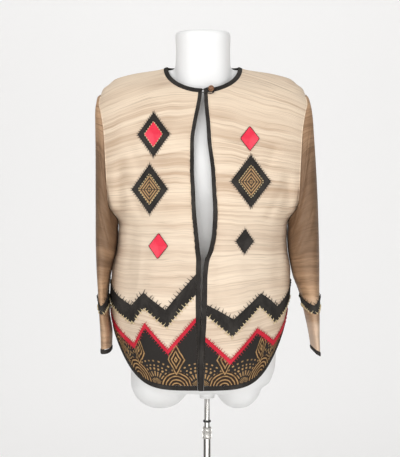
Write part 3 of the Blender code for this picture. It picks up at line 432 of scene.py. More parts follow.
def squared(values, power):
    """Sines or cosines bent towards those of a rounded square."""
    return np.sign(values) * np.abs(values) ** power


def unit(vectors):
    return vectors / np.linalg.norm(vectors, axis=-1, keepdims=True)


def running(steps):
    """The running sum of steps along their first axis, from 0."""
    return np.concatenate([np.zeros((1, *steps.shape[1:])), np.cumsum(steps, axis=0)])


def armhole_width(face, z):
    """The half-width at which the armhole's edge lies at a height above the underarm."""
    half = (SHOULDER_TIP_Z - UNDERARM_Z) / 2
    cosine = np.clip(((SHOULDER_TIP_Z + UNDERARM_Z) / 2 - z) / half, -1, 1)
    depth = ARMHOLE_HALF_DEPTH * np.sqrt(1 - cosine ** 2)
    return body_size("half_width", z) * rounded(depth / body_size(REACH[face], z))


def cloth_point(side, face, x, z):
    """The point of the cloth's inner surface at a half-width x and height z, in front or behind."""
    x, z = np.broadcast_arrays(np.asarray(x, float), np.asarray(z, float))
    half = body_size("half_width", z)
    reach = body_size(REACH[face], z)
    share = np.clip(np.abs(x) / half, 0, 1)
    depth = reach * rounded(share)
    near_seam = np.minimum(1, depth / SEAM_EASE)
    sizes = bpy.context.scene.jacket_sizes
    fine = drawn_in(CREASES, side, face, x, z) * sizes.creases + rippled(side, x, z) * sizes.ripples
    clear = step_between(0.002, 0.030, armhole_width(face, z) - np.abs(x))
    clear = np.where(z > UNDERARM_Z, clear, 1) * (1 - step_between(1.270, 1.305, z))
    depth = depth - (drawn_in(FOLDS, side, face, x, z) + fine * clear) * near_seam
    if face == FRONT and side == WEARER_LEFT:
        lap = step_between(LAP_FULL_Z, LAP_TOP_Z, z)
        depth = depth + LAP_DEPTH * (1 - lap) * np.exp(-(x / LAP_WIDTH) ** 2)
    middle = body_size("shift", z)
    return np.stack([side * x + middle, face * (depth + SEAM / 2), z], axis=-1)


def body_slope(name, z):
    """How fast one of the body's sizes grows with height."""
    above, below = [body_size(name, z + step) for step in (SLOPE_STEP, -SLOPE_STEP)]
    return (above - below) / (2 * SLOPE_STEP)


def cloth_normal(side, face, x, z):
    """The direction square to the cloth there, folds left out, so that neighbours agree on it."""
    x, z = np.broadcast_arrays(np.asarray(x, float), np.asarray(z, float))
    half, reach = [body_size(name, z) for name in ("half_width", REACH[face])]
    half_slope, reach_slope = [body_slope(name, z) for name in ("half_width", REACH[face])]
    share = np.clip(np.abs(x) / half, 0, 1)
    deep = rounded(share)
    across = share ** (SECTION_POWER - 1) / half * np.sign(x)
    forward = deep ** (SECTION_POWER - 1) / reach
    upward = -(share ** SECTION_POWER * half_slope / half + deep ** SECTION_POWER * reach_slope / reach)
    return unit(np.stack([side * across, face * forward, upward], axis=-1))


def cloth_grid(side, face, x, z):
    """Points of the cloth and the directions square to it, side by side in one array."""
    return np.concatenate([cloth_point(side, face, x, z), cloth_normal(side, face, x, z)], axis=-1)


def front_edge(side, z):
    """The half-width at which a front's bound edge hangs."""
    column = "right_front" if side == WEARER_RIGHT else "left_front"
    edge = smooth(FRONT_EDGES["height"], FRONT_EDGES[column], z)
    return side * (edge - body_size("shift", z))


def centre_line(side, face, z, inset):
    if face == FRONT:
        return front_edge(side, z) + inset
    return np.zeros(np.shape(z))


def hem_height(across):
    return HEM_CENTRE_Z + HEM_SIDE_RISE * np.sin(across * math.pi / 2) ** HEM_RISE_POWER


def hem_inset(across, inset):
    """How much higher the hem lies after a strip of this width, measured square to it."""
    angle = across * math.pi / 2
    sine = np.sin(angle)
    rise = HEM_SIDE_RISE * HEM_RISE_POWER * sine ** (HEM_RISE_POWER - 1) * np.cos(angle)
    return inset * np.sqrt(1 + (rise / BODY["half_width"][1]) ** 2)


def spread_x(side, face, across, z, inset=0.0):
    """Half-widths spaced evenly round the body, from the centre line (0) to the side seam (1)."""
    inner = centre_line(side, face, z, inset)
    outer = body_size("half_width", z)
    return inner + (outer - inner) * np.sin(across * math.pi / 2)


def run_lengths(points):
    """How far along a polyline each of its points lies."""
    return running(np.linalg.norm(np.diff(points, axis=0), axis=1))


def resample(points, shares):
    """Points at these shares of a polyline's length."""
    points = np.asarray(points)
    run = run_lengths(points)
    wanted = np.asarray(shares) * run[-1]
    return np.stack([np.interp(wanted, run, points[:, k]) for k in range(points.shape[1])], axis=-1)


def ridge_line():
    """Half-width and height along the top of the shoulder, from the tip to the neck point."""
    heights = np.linspace(SHOULDER_TIP_Z, NECK_POINT_Z, 200)
    return body_size("half_width", heights), heights


def neck_curve(face, angle, inset):
    """Half-width and height of the neckline, from the centre (0) to the shoulder (a right angle)."""
    half = NECK_HALF_WIDTH + inset
    widths, heights = ridge_line()
    point_z = np.interp(half, widths[::-1], heights[::-1])
    if face == FRONT:
        drop = point_z - (NECK_POINT_Z - NECK_DROP - inset)
        return np.stack(np.broadcast_arrays(half * np.sin(angle), point_z - drop * np.cos(angle)), axis=-1)
    rise = NECK_POINT_Z + BACK_NECK_RISE - inset - point_z
    return np.stack(np.broadcast_arrays(half * np.sin(angle), point_z + rise * np.cos(angle) ** 2), axis=-1)


def shoulder_curve(start_half_width, shares):
    """Half-width and height along the shoulder seam, at shares of its length."""
    widths, heights = ridge_line()
    line = np.stack([widths, heights], axis=-1)[::-1]
    line = line[line[:, 0] >= start_half_width]
    line[0] = (start_half_width, np.interp(start_half_width, widths[::-1], heights[::-1]))
    return resample(line, shares)


def armhole_curve(face, share):
    """Half-width and height round the armhole, from the underarm (0) to the shoulder tip (1)."""
    angle = share * math.pi
    middle = (SHOULDER_TIP_Z + UNDERARM_Z) / 2
    height = middle - (SHOULDER_TIP_Z - UNDERARM_Z) / 2 * np.cos(angle)
    depth = ARMHOLE_HALF_DEPTH * np.sin(angle)
    width = body_size("half_width", height) * rounded(depth / body_size(REACH[face], height))
    return np.stack([width, height], axis=-1)


def armhole_direction(side, face, share):
    """The direction of the cloth's thickness round the armhole, between the body's and the sleeve's own."""
    curve = armhole_curve(face, share)
    body = cloth_normal(side, face, curve[..., 0], curve[..., 1])
    turned_in = step_between(0.05, 0.3, share) * (1 - step_between(0.75, 0.95, share))
    body[..., 0] = body[..., 0] * (1 - 0.5 * turned_in)
    return unit(body)


def half_panel(side, face, columns, rows):
    """A panel's grid from its centre line to its side seam and armhole, blended between its edges."""
    across = np.linspace(0, 1, columns)
    lower_rows = int(rows * UNDERARM_V)
    lower = np.linspace(0, UNDERARM_V, lower_rows)
    round_arm = 1 - (1 - np.linspace(0, 1, rows - lower_rows + 1)) ** UPPER_ROW_POWER
    up = np.concatenate([lower, UNDERARM_V + (1 - UNDERARM_V) * round_arm[1:]])
    inset = bpy.context.scene.jacket_sizes.binding_width + SEAM
    neck_share = NECK_SHARE[face]
    at_neck = across[across <= neck_share]
    neck = neck_curve(face, at_neck / neck_share * math.pi / 2, NECK_BINDING_WIDTH + SEAM)
    neck_end = neck_curve(face, math.pi / 2, NECK_BINDING_WIDTH + SEAM)[0]
    on_shoulder = (across[across > neck_share] - neck_share) / (1 - neck_share)
    top = np.concatenate([neck, shoulder_curve(neck_end, np.sin(on_shoulder * math.pi / 2))])
    if face == FRONT:
        top[0, 0] = centre_line(side, face, top[0, 1], inset)
    hem_z = hem_height(across) + hem_inset(across, inset)
    bottom = np.stack([spread_x(side, face, across, hem_z, inset), hem_z], axis=-1)
    low_z = HEM_CENTRE_Z + inset
    middle_z = low_z + (top[0, 1] - low_z) * up
    middle = np.stack([centre_line(side, face, middle_z, inset), middle_z], axis=-1)
    seam_z = bottom[-1, 1] + (UNDERARM_Z - bottom[-1, 1]) * np.minimum(up / UNDERARM_V, 1)
    outer = np.stack([body_size("half_width", seam_z), seam_z], axis=-1)
    outer[lower_rows - 1:] = armhole_curve(face, round_arm)
    a = across[:, None]
    v = up[None, :]
    upright = (1 - v) * bottom[:, None, 1] + v * top[:, None, 1]
    level = (1 - a) * middle[None, :, 1] + a * outer[None, :, 1]
    low = (1 - a) * bottom[0, 1] + a * bottom[-1, 1]
    high = (1 - a) * top[0, 1] + a * top[-1, 1]
    z = upright + level - (1 - v) * low - v * high
    along_top = (top[:, :1] - top[0, 0]) / (top[-1, 0] - top[0, 0])
    share = (1 - v) * np.sin(a * math.pi / 2) + v * along_top
    x = middle[:, 0] + (outer[:, 0] - middle[:, 0]) * share
    upper = step_between(0.90, 0.99, z)
    x = upper * x + (1 - upper) * spread_x(side, face, across[:, None], z, inset)
    wall = cloth_grid(side, face, x, z)
    wall[-1, lower_rows - 1:, 3:] = armhole_direction(side, face, round_arm)
    return wall


def both_halves(right, left):
    """One grid across the back, from the wearer's right side seam to the left one."""
    return np.concatenate([right[::-1], left[1:]])


def border_columns(side, face, count):
    """Places across a half for its borders, with one at each corner of the zigzag."""
    corners = ZIGZAGS[(face, side)]["across"]
    even = np.linspace(0, 1, count)
    clear = np.abs(even[:, None] - corners[None, :]).min(axis=1) > 0.4 / count
    return np.sort(np.concatenate([even[clear], corners]))


def border_grid(side, face, upper, lower, columns, rows, inset):
    """A grid on the cloth between two heights given by functions of the place across."""
    across = border_columns(side, face, columns)
    low = lower(across)[:, None]
    high = upper(across)[:, None]
    z = low + (high - low) * np.linspace(0, 1, rows)[None, :]
    return cloth_grid(side, face, spread_x(side, face, across[:, None], z, inset), z)


def zigzag_line(side, face, column, drop=0.0):
    rows = ZIGZAGS[(face, side)]
    return lambda across: np.interp(across, rows["across"], rows[column]) - drop


def hem_line(inset):
    return lambda across: hem_height(across) + hem_inset(across, inset)


def sleeve_head_x(angle):
    """How far out the sleeve's first ring stands, just outside the armhole's edge."""
    share, behind = armhole_place(angle)
    front, back = [armhole_curve(face, share)[..., 0] for face in (FRONT, BACK)]
    under = ((1 + np.cos(angle)) / 2) ** 5
    return np.where(behind, back, front) + SLEEVE_SEAM + (UNDERARM_SEAM - SLEEVE_SEAM) * under


def armhole_place(angle):
    """How far round the armhole an angle of the sleeve lies, and whether it is behind."""
    turn = np.degrees(angle) % 360
    return np.where(turn <= 180, turn, 360 - turn) / 180, turn > 180


def sleeve_head_direction(side, angle):
    """The direction of the sleeve's thickness at its head: the armhole's, and inwards under the arm."""
    share, behind = armhole_place(angle)
    in_front, at_back = [armhole_direction(side, face, share) for face in (FRONT, BACK)]
    shared = np.where(behind[..., None], at_back, in_front)
    over = step_between(0.02, 0.3, share)[..., None]
    direction = over * shared + (1 - over) * np.array([-side, 0, -0.3])
    return unit(direction)


def sleeve_points(side, angles, rings):
    """The sleeve's inner surface at angles round it, from the underarm over the front, and at rings."""
    sleeve = SLEEVES[side]
    angle, ring = np.broadcast_arrays(angles, rings)
    values = {name: smooth(sleeve["ring"], sleeve[name], ring) for name in SLEEVE_COLUMNS.split()[1:]}
    squareness = 2 + (SLEEVE_SQUARENESS - 2) * step_between(1, 5, ring)
    cosine = np.cos(angle)
    along, aside = [squared(wave, 2 / squareness) for wave in (cosine, np.sin(angle))]
    x = (values["inner_x"] + values["outer_x"]) / 2 - (values["outer_x"] - values["inner_x"]) / 2 * along
    z = (values["inner_z"] + values["outer_z"]) / 2 - (values["outer_z"] - values["inner_z"]) / 2 * along
    drawn = np.zeros(angle.shape)
    for fold_side, fold_ring, lean, width, depth, middle, reach in zip(*SLEEVE_FOLDS.values()):
        if fold_side == side:
            turn = np.abs((np.degrees(angle) - middle + 180) % 360 - 180) / reach
            away = (ring - fold_ring - lean * np.cos(angle)) / width
            drawn = drawn + depth * np.exp(-away ** 2 - turn ** 4)
    y = values["middle_y"] - (values["half_depth"] - drawn) * aside
    first = {name: column[0] for name, column in sleeve.items()}
    middle_x = (first["inner_x"] + first["outer_x"]) / 2
    flat = middle_x - (first["outer_x"] - first["inner_x"]) / 2 * cosine
    bulge = sleeve_head_x(angle) - flat
    x = x + bulge * (1 - step_between(0, BULGE_END_RING, ring))
    return np.stack([side * x, y, z], axis=-1)


def sleeve_grid(side, angles, rings):
    """Points of a sleeve and the directions square to it, side by side in one array."""
    nudge = SLEEVE_STEP
    points = sleeve_points(side, angles, rings)
    round_it = sleeve_points(side, angles + nudge, rings) - sleeve_points(side, angles - nudge, rings)
    before = np.maximum(rings - nudge, 0)
    along_it = sleeve_points(side, angles, rings + nudge) - sleeve_points(side, angles, before)
    normals = -side * np.cross(round_it, along_it)
    near_body = step_between(1.0, 3.5, rings)
    least = -near_body - np.clip(np.cos(angles) * 2 - 0.4, 0, 1) - 0.05
    normals[..., 0] = side * np.maximum(side * normals[..., 0], least)
    normals = unit(normals)
    head = np.broadcast_to(rings, points.shape[:2]) < nudge
    normals[head] = sleeve_head_direction(side, np.broadcast_to(angles, points.shape[:2])[head])
    return np.concatenate([points, normals], axis=-1)


def zigzag_ring(angles, column):
    """The ring on which an edge of the sleeve's zigzag lies, at angles round the sleeve."""
    front = (1 - (1 - np.linspace(0, 1, BAND_SIDES + 1)) ** UPPER_ROW_POWER) * math.pi
    corners = np.concatenate([front, 2 * math.pi - front[::-1][1:]])
    sides = np.interp(angles, corners, np.arange(len(corners)))
    return np.interp(sides, SLEEVE_ZIGZAG["side"], SLEEVE_ZIGZAG[column])


# Making meshes


def deselect():
    if bpy.context.object and bpy.context.object.mode != "OBJECT":
        bpy.ops.object.mode_set(mode="OBJECT")
    bpy.ops.object.select_all(action="DESELECT")


def pick(piece):
    """Makes a piece the only selected and the active one."""
    deselect()
    piece.select_set(True)
    bpy.context.view_layer.objects.active = piece


def named(name):
    """The object that a primitive has just made, under its own name."""
    piece = bpy.context.object
    piece.name = name
    piece.data.name = name
    return piece


def apply_modifiers(piece):
    pick(piece)
    for modifier in list(piece.modifiers):
        bpy.ops.object.modifier_apply(modifier=modifier.name)


def merge_doubles(piece, distance=1e-6):
    pick(piece)
    bpy.ops.object.mode_set(mode="EDIT")
    bpy.ops.mesh.select_all(action="SELECT")
    bpy.ops.mesh.remove_doubles(threshold=distance)
    bpy.ops.object.mode_set(mode="OBJECT")


def shade_by_angle(piece, degrees=50):
    pick(piece)
    bpy.ops.object.shade_smooth_by_angle(angle=math.radians(degrees))


def enclosed_volume(mesh):
    """The volume inside a closed mesh, below 0 where its faces point inwards."""
    mesh.calc_loop_triangles()
    corners = np.empty(len(mesh.loop_triangles) * 3, int)
    mesh.loop_triangles.foreach_get("vertices", corners)
    places = np.empty(len(mesh.vertices) * 3)
    mesh.vertices.foreach_get("co", places)
    a, b, c = places.reshape(-1, 3)[corners.reshape(-1, 3)].transpose(1, 0, 2)
    return float(np.einsum("ij,ij->i", a, np.cross(b, c)).sum() / 6)


def face_outward(piece):
    if enclosed_volume(piece.data) < 0:
        piece.data.flip_normals()


def close_up(piece):
    """Joins a shell's meeting points and turns its faces outwards."""
    merge_doubles(piece)
    face_outward(piece)


def grid_piece(name, points, cloth_uv):
    """A grid primitive laid through these points, with lengths of cloth as its UV map."""
    columns, rows = points.shape[:2]
    deselect()
    bpy.ops.mesh.primitive_grid_add(x_subdivisions=columns - 1, y_subdivisions=rows - 1, size=1, calc_uvs=False)
    piece = named(name)
    mesh = piece.data
    if len(mesh.vertices) != columns * rows:
        raise RuntimeError(f"{name}: the grid has {len(mesh.vertices)} points, not {columns * rows}")
    mesh.vertices.foreach_set("co", points.transpose(1, 0, 2).ravel())
    corners = np.empty(len(mesh.loops), int)
    mesh.loops.foreach_get("vertex_index", corners)
    layer = mesh.uv_layers.new(name="cloth")
    layer.data.foreach_set("uv", cloth_uv.transpose(1, 0, 2).reshape(-1, 2)[corners].ravel())
    mesh.update()
    return piece


def grid_facts(points):
    """A grid's longest way across, its longest way along and its area."""
    across = np.linalg.norm(np.diff(points, axis=0), axis=-1).sum(axis=0).max()
    along = np.linalg.norm(np.diff(points, axis=1), axis=-1).sum(axis=1).max()
    first = np.cross(points[1:, :-1] - points[:-1, :-1], points[:-1, 1:] - points[:-1, :-1])
    second = np.cross(points[:-1, 1:] - points[1:, 1:], points[1:, :-1] - points[1:, 1:])
    area = (np.linalg.norm(first, axis=-1).sum() + np.linalg.norm(second, axis=-1).sum()) / 2
    return float(across), float(along), float(area)


def body_uv(side, face, points):
    """Lengths of cloth round the body and up it, the grain falling towards the shoulder's tip."""
    x, z = points[..., 0], points[..., 2]
    run = running(np.linalg.norm(np.diff(points[..., :2], axis=0), axis=-1))
    high = step_between(1.00, 1.33, z)
    fall = high * (0.050 * (np.abs(x) / 0.22) ** 1.7 + 0.012 * np.sin(9 * x + face))
    low = 1 - step_between(0.80, 1.00, z)
    sag = low * 0.010 * np.cos(np.abs(x) / 0.19 * math.pi)
    return np.stack([run + 0.7 * face + 1.9 * side, z + fall + sag], axis=-1)


def finish_cloth(piece, grid, material, slot, nodes, rests_on, held="hung", thickness=None, closed=False):
    """Turns a single layer of cloth into a wall, paints it, and attaches it to the form's body."""
    mesh = piece.data
    normals = np.empty(len(mesh.polygons) * 3)
    mesh.polygons.foreach_get("normal", normals)
    directions = grid[:-1, :-1, 3:].transpose(1, 0, 2).reshape(-1, 3)
    if np.einsum("ij,ij->i", normals.reshape(-1, 3), directions).sum() < 0:
        mesh.flip_normals()
    if closed:
        merge_doubles(piece)
    wall = piece.modifiers.new("wall", "SOLIDIFY")
    wall.thickness = bpy.context.scene.jacket_sizes.cloth if thickness is None else thickness
    wall.offset = -1
    apply_modifiers(piece)
    shade_by_angle(piece)
    settle(piece, material, nodes, "form")
    across, along, area = grid_facts(grid[..., :3])
    return piece


def settle(piece, material, nodes, body):
    """Gives a finished piece its material and its body, and hides the CAD nodes it stands for."""
    piece.data.materials.clear()
    piece.data.materials.append(material)
    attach(piece, body)
    if nodes:
        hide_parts(*nodes)


def shift_to_garment(points):
    return points + np.array([GARMENT_X, 0, 0])


def laid_cloth(name, grid, uv, lift, *args, **kwargs):
    """A sheet whose outer face lies this far out of the jacket's inner surface."""
    points = shift_to_garment(grid[..., :3] + grid[..., 3:] * lift)
    laid = np.concatenate([points, grid[..., 3:]], -1)
    return finish_cloth(grid_piece(name, points, uv), laid, *args, **kwargs)


def capped(points, ends):
    """A tube's rings with a point at each end, drawn out to a ring of its own."""
    first, last = [np.broadcast_to(end, (1, *points.shape[1:])) for end in ends]
    return np.concatenate([first, points, last])


def binding_piece(name, place, along, width, material, nodes, ring=False):
    """A folded strip with a rounded section round an edge. place gives the cloth at (along, inset)."""
    sizes = bpy.context.scene.jacket_sizes
    turns = np.linspace(0, 2 * math.pi, BINDING_SIDES + 1)
    cosine, sine = [squared(wave(turns), BINDING_SQUARENESS) for wave in (np.cos, np.sin)]
    inset = width / 2 * (1 - cosine)
    half = sizes.binding_height / 2
    lift = half - BINDING_INSIDE + half * sine
    grid = place(along[:, None], inset[None, :])
    points = shift_to_garment(grid[..., :3] + grid[..., 3:] * lift[None, :, None])
    if not ring:
        points = capped(points, [points[k, :-1].mean(axis=0) for k in (0, -1)])
    run = run_lengths(points.mean(axis=1))
    across = run_lengths(points[len(points) // 2])
    uv = np.stack(np.broadcast_arrays(run[:, None], across[None, :]), axis=-1)
    piece = grid_piece(name, points, uv)
    close_up(piece)
    shade_by_angle(piece, 60)
    settle(piece, material, nodes, "form")
    return piece


# Materials


class Value:
    """The output of a node, which adds Math nodes where it is used in a sum."""

    def __init__(self, finish, socket):
        self.finish = finish
        self.socket = socket

    def math(self, operation, *values):
        return self.finish.node("ShaderNodeMath", {"operation": operation}, values)

    def __add__(self, other):
        return self.math("ADD", self, other)

    def __radd__(self, other):
        return self.math("ADD", other, self)

    def __sub__(self, other):
        return self.math("SUBTRACT", self, other)

    def __rsub__(self, other):
        return self.math("SUBTRACT", other, self)

    def __mul__(self, other):
        return self.math("MULTIPLY", self, other)

    def __rmul__(self, other):
        return self.math("MULTIPLY", other, self)

    def __truediv__(self, other):
        return self.math("DIVIDE", self, other)

    def __pow__(self, other):
        return self.math("POWER", self, other)

    def __mod__(self, other):
        return self.math("FLOORED_MODULO", self, other)

    def __abs__(self):
        return self.math("ABSOLUTE", self)


class Finish:
    """One material and the nodes that vary it over a surface."""

    def __init__(self, name):
        self.material = bpy.data.materials.new(name)
        self.material.use_nodes = True
        self.tree = self.material.node_tree
        self.shader = self.tree.nodes["Principled BSDF"]

    def node(self, kind, settings, values, output=0):
        """A node of a kind, with its settings made first and then the values or links of its sockets."""
        made = self.tree.nodes.new(kind)
        for name, value in settings.items():
            setattr(made, name, value)
        for key, value in values.items() if isinstance(values, dict) else enumerate(values):
            self.feed(made.inputs[key], value)
        return Value(self, made.outputs[output])

    def feed(self, socket, value):
        if isinstance(value, Value):
            self.tree.links.new(value.socket, socket)
        else:
            socket.default_value = value

    def set(self, **values):
        """Values or links of the shader's own sockets, such as Base_Color."""
        for name, value in values.items():
            self.feed(self.shader.inputs[name.replace("_", " ")], value)

    def cloth(self):
        """Lengths of cloth, from the piece's UV map."""
        return self.node("ShaderNodeUVMap", {"uv_map": "cloth"}, {})

    def place(self):
        return self.node("ShaderNodeTexCoord", {}, {}, output="Object")

    def parts(self, vector):
        """The three numbers of a vector."""
        split = self.node("ShaderNodeSeparateXYZ", {}, [vector]).socket.node
        return [Value(self, output) for output in split.outputs]

    def moved(self, vector, other):
        return self.node("ShaderNodeVectorMath", {"operation": "ADD"}, [vector, other])

    def scaled(self, vector, scale):
        return self.node("ShaderNodeMapping", {}, {"Vector": vector, "Scale": scale})

    def noise(self, vector, scale=(1, 1, 1), detail=2.0, roughness=0.5, output=0):
        values = {"Vector": self.scaled(vector, scale), "Scale": 1.0, "Detail": detail, "Roughness": roughness}
        return self.node("ShaderNodeTexNoise", {}, values, output)

    def between(self, value, low, high):
        """0 at low, 1 at high and a smooth turn between them; low may be the greater."""
        values = {"Value": value, "From Min": low, "From Max": high}
        return self.node("ShaderNodeMapRange", {"interpolation_type": "SMOOTHSTEP"}, values)

    def mix(self, share, first, second):
        """One colour into another by a share."""
        values = {"Factor_Float": share, "A_Color": first, "B_Color": second}
        made = self.tree.nodes.new("ShaderNodeMix")
        made.data_type = "RGBA"
        for socket in made.inputs:
            if socket.identifier in values:
                self.feed(socket, values[socket.identifier])
        return Value(self, next(out for out in made.outputs if out.identifier == "Result_Color"))

    def bump(self, height, distance, strength=1.0):
        values = {"Height": height, "Distance": distance, "Strength": strength}
        return self.node("ShaderNodeBump", {}, values)


def colour(values):
    return (*values, 1.0)


def sum_of(terms):
    """The sum of several values, each times its weight."""
    total = None
    for value, weight in terms:
        part = value * weight
        total = part if total is None else total + part
    return total


def slub_silk(name, light, tan, brown, seed, streaks=1.0, shade=None, paler_below=0.0):
    """Slubbed silk: bands and threads of tan and brown across a pale ground, with a faint rib.

    shade says where a band of painted shade, partly the silk's own darker tone, begins, is full, is still full and
    ends, in heights above the floor, and the last argument how much paler the cloth is below that.
    """
    finish = Finish(name)
    cloth = finish.cloth()
    drift = finish.noise(cloth, (5.5, 3.5, 1), 3.0, 0.55)
    along, up, _ = finish.parts(cloth)
    up = up + (drift - 0.5) * 0.034 + seed
    place = finish.node("ShaderNodeCombineXYZ", {}, [along, up, 0.0])
    bands = finish.noise(place, (1.1, 26, 1), 4.0, 0.62)
    stripes = finish.noise(place, (2.2, 120, 1), 3.0, 0.62)
    threads = finish.noise(place, (5, 420, 1), 2.0, 0.60)
    fine = finish.noise(place, (14, 1100, 1), 2.0, 0.60)
    slubs = finish.noise(place, (9, 330, 1), 1.0, 0.5)
    patches = finish.noise(cloth, (7, 5, 1), 2.0)
    streaks = streaks * (0.55 + finish.between(patches, 0.36, 0.62) * 0.6)
    tone = finish.mix(finish.between(bands, 0.42, 0.64) * streaks * 0.78, light, tan)
    tone = finish.mix(finish.between(stripes, 0.50, 0.66) * streaks * 0.62, tone, tan)
    tone = finish.mix(finish.between(stripes, 0.58, 0.42) * 0.30, tone, light)
    tone = finish.mix(finish.between(threads, 0.55, 0.70) * streaks * 0.42, tone, brown)
    tone = finish.mix(finish.between(slubs, 0.66, 0.73) * streaks * 0.50, tone, brown)
    tone = finish.mix(finish.between(fine, 0.42, 0.62) * 0.13, tone, brown)
    if shade:
        # A band of painted shade over the sleeve's middle heights, partly the silk's own darker tone; below it the
        # cloth turns paler
        height = finish.parts(finish.place())[2] + (bands - 0.5) * 0.16
        low_end, full, still_full, high_end = shade
        dark = finish.between(height, low_end, full) * finish.between(height, high_end, still_full)
        tone = finish.mix(dark * 0.72, tone, brown)
        tone = finish.mix(finish.between(height, low_end, low_end - 0.07) * paler_below, tone, (0.72, 0.56, 0.43, 1.0))
    else:
        # Painted shade in the puckers: thin darker lines at the ripples' pitch over the lower body, where the cloth is
        # also greyer
        pucker = (up * 598 + drift * 9).math("SINE", up * 598 + drift * 9)
        low = finish.between(up, seed + 1.06, seed + 0.98)
        tone = finish.mix(low * 0.22, tone, (0.73, 0.63, 0.52, 1.0))
        pucker_painted_shade = finish.between(pucker, 0.45, 0.98) * finish.between(patches, 0.60, 0.44)
        tone = finish.mix(pucker_painted_shade * low * 0.14, tone, brown)
    weave = finish.noise(cloth, (900, 1500, 1), 1.0)
    height = sum_of([(stripes, 0.9), (threads, 0.8), (fine, 0.5), (weave, 0.25)])
    finish.set(Base_Color=tone, Roughness=0.50 + fine * 0.18, Normal=finish.bump(height, 0.0010, 0.6))
    finish.set(Specular_IOR_Level=0.35)
    return finish.material


def woven_cotton(name, base, lint, roughness=0.85):
    """Matt woven cloth with a plain weave and a little lint."""
    finish = Finish(name)
    cloth = finish.cloth()
    along, up, _ = finish.parts(cloth)
    worn = finish.noise(cloth, (22, 22, 1), 4.0, 0.6)
    specks = finish.noise(cloth, (420, 420, 1), 2.0, 0.6)
    warp = (along * 4800).math("SINE", along * 4800)
    weft = (up * 4800).math("SINE", up * 4800)
    tone = finish.mix(finish.between(worn, 0.40, 0.66) * 0.55 + finish.between(specks, 0.55, 0.75) * 0.25, base, lint)
    height = warp * weft * 0.5 + specks * 0.9 + worn * 1.2
    finish.set(Base_Color=tone, Roughness=roughness, Normal=finish.bump(height, 0.0004, 0.6))
    finish.set(Specular_IOR_Level=0.2)
    return finish.material


def line_mask(finish, value, spacing, share):
    """1 on evenly spaced lines that fill this share of their spacing."""
    away = abs((value / spacing) % 1.0 - 0.5)
    return finish.between(away, share / 2 + 0.07, share / 2 - 0.07)


def printed_hem(name, ground, print_ground, ochre):
    """Cotton with a hand print of nested arches, leaves and dots in the lower part, and plain near the trim."""
    finish = Finish(name)
    cloth = finish.cloth()
    waver = finish.noise(cloth, (60, 60, 1), 2.0, output=1)
    waver = finish.node("ShaderNodeVectorMath", {"operation": "SUBTRACT"}, [waver, (0.5, 0.5, 0.5)])
    waver = finish.node("ShaderNodeVectorMath", {"operation": "SCALE"}, {"Vector": waver, "Scale": 0.0042})
    along, up, _ = finish.parts(finish.moved(cloth, waver))
    width = 0.086
    aside = abs((along / width) % 1.0 - 0.5) * width
    beside = width / 2 - aside
    from_arch = (aside * aside + (up + 0.004) * (up + 0.004)).math("SQRT", aside * aside + (up + 0.004) * (up + 0.004))
    from_fan = (beside * beside + up * up).math("SQRT", beside * beside + up * up)
    leaf = aside / 0.0185 + abs(up - 0.054) / 0.034
    in_leaf = finish.between(leaf, 1.06, 1.0)
    leaf_lines = line_mask(finish, leaf + 0.03, 0.37, 0.36) * in_leaf
    arch_lines = line_mask(finish, from_arch, 0.0066, 0.34) * finish.between(from_arch, 0.0345, 0.0335)
    turn = (beside / (up + 0.0001)).math("ARCTANGENT", beside / (up + 0.0001))
    rays = line_mask(finish, turn, 0.30, 0.42)
    fan = rays * finish.between(from_fan, 0.0335, 0.0325) * line_mask(finish, from_fan, 0.0135, 0.74)
    dots = line_mask(finish, turn, 0.24, 0.36) * line_mask(finish, from_fan + 0.0005, 0.0085, 0.34)
    dots = dots * finish.between(from_fan, 0.030, 0.034) * finish.between(from_fan, 0.052, 0.050)
    clear = 1 - in_leaf
    arches = finish.between(from_arch, 0.0345, 0.0335)
    pattern = leaf_lines + clear * (arch_lines + (1 - arches) * (fan + dots))
    patchy = finish.noise(cloth, (75, 75, 1), 3.0, 0.65)
    drawn = pattern * (0.55 + finish.between(patchy, 0.35, 0.60) * 0.45)
    inked = (in_leaf + arches + finish.between(from_fan, 0.0345, 0.0325)).math("MINIMUM", in_leaf + arches, 1.0)
    base = finish.mix(inked * 0.85, ground, print_ground)
    tone = finish.mix(drawn.math("MINIMUM", drawn, 1.0), base, ochre)
    specks = finish.noise(cloth, (420, 420, 1), 2.0, 0.6)
    finish.set(Base_Color=tone, Roughness=0.80, Normal=finish.bump(specks + drawn * 0.3, 0.0004, 0.5))
    finish.set(Specular_IOR_Level=0.2)
    return finish.material


def nested_print(name, ground, ochre):
    """Nested lozenges in close ochre lines, broken on their diagonals."""
    finish = Finish(name)
    cloth = finish.cloth()
    waver = finish.noise(cloth, (160, 160, 1), 1.0, output=1)
    waver = finish.node("ShaderNodeVectorMath", {"operation": "SCALE"}, {"Vector": waver, "Scale": 0.0012})
    along, up, _ = finish.parts(finish.moved(cloth, waver))
    nested = abs(along).math("MAXIMUM", abs(along), abs(up))
    gap = abs(abs(along) - abs(up))
    lines = line_mask(finish, nested, 0.0050, 0.50) * finish.between(gap, 0.0005, 0.0012)
    stitched = finish.noise(cloth, (700, 700, 1), 2.0)
    tone = finish.mix(lines * (0.75 + stitched * 0.4), ground, ochre)
    finish.set(Base_Color=tone, Roughness=0.75, Normal=finish.bump(lines + stitched * 0.6, 0.0004, 0.7))
    return finish.material


def spun_thread(name, base, deep):
    """Thread: fine twisted strands with darker hollows."""
    finish = Finish(name)
    place = finish.place()
    strands = finish.noise(place, (900, 900, 2600), 2.0)
    tone = finish.mix(finish.between(strands, 0.40, 0.62), deep, base)
    finish.set(Base_Color=tone, Roughness=0.7, Normal=finish.bump(strands, 0.0003, 0.7))
    return finish.material


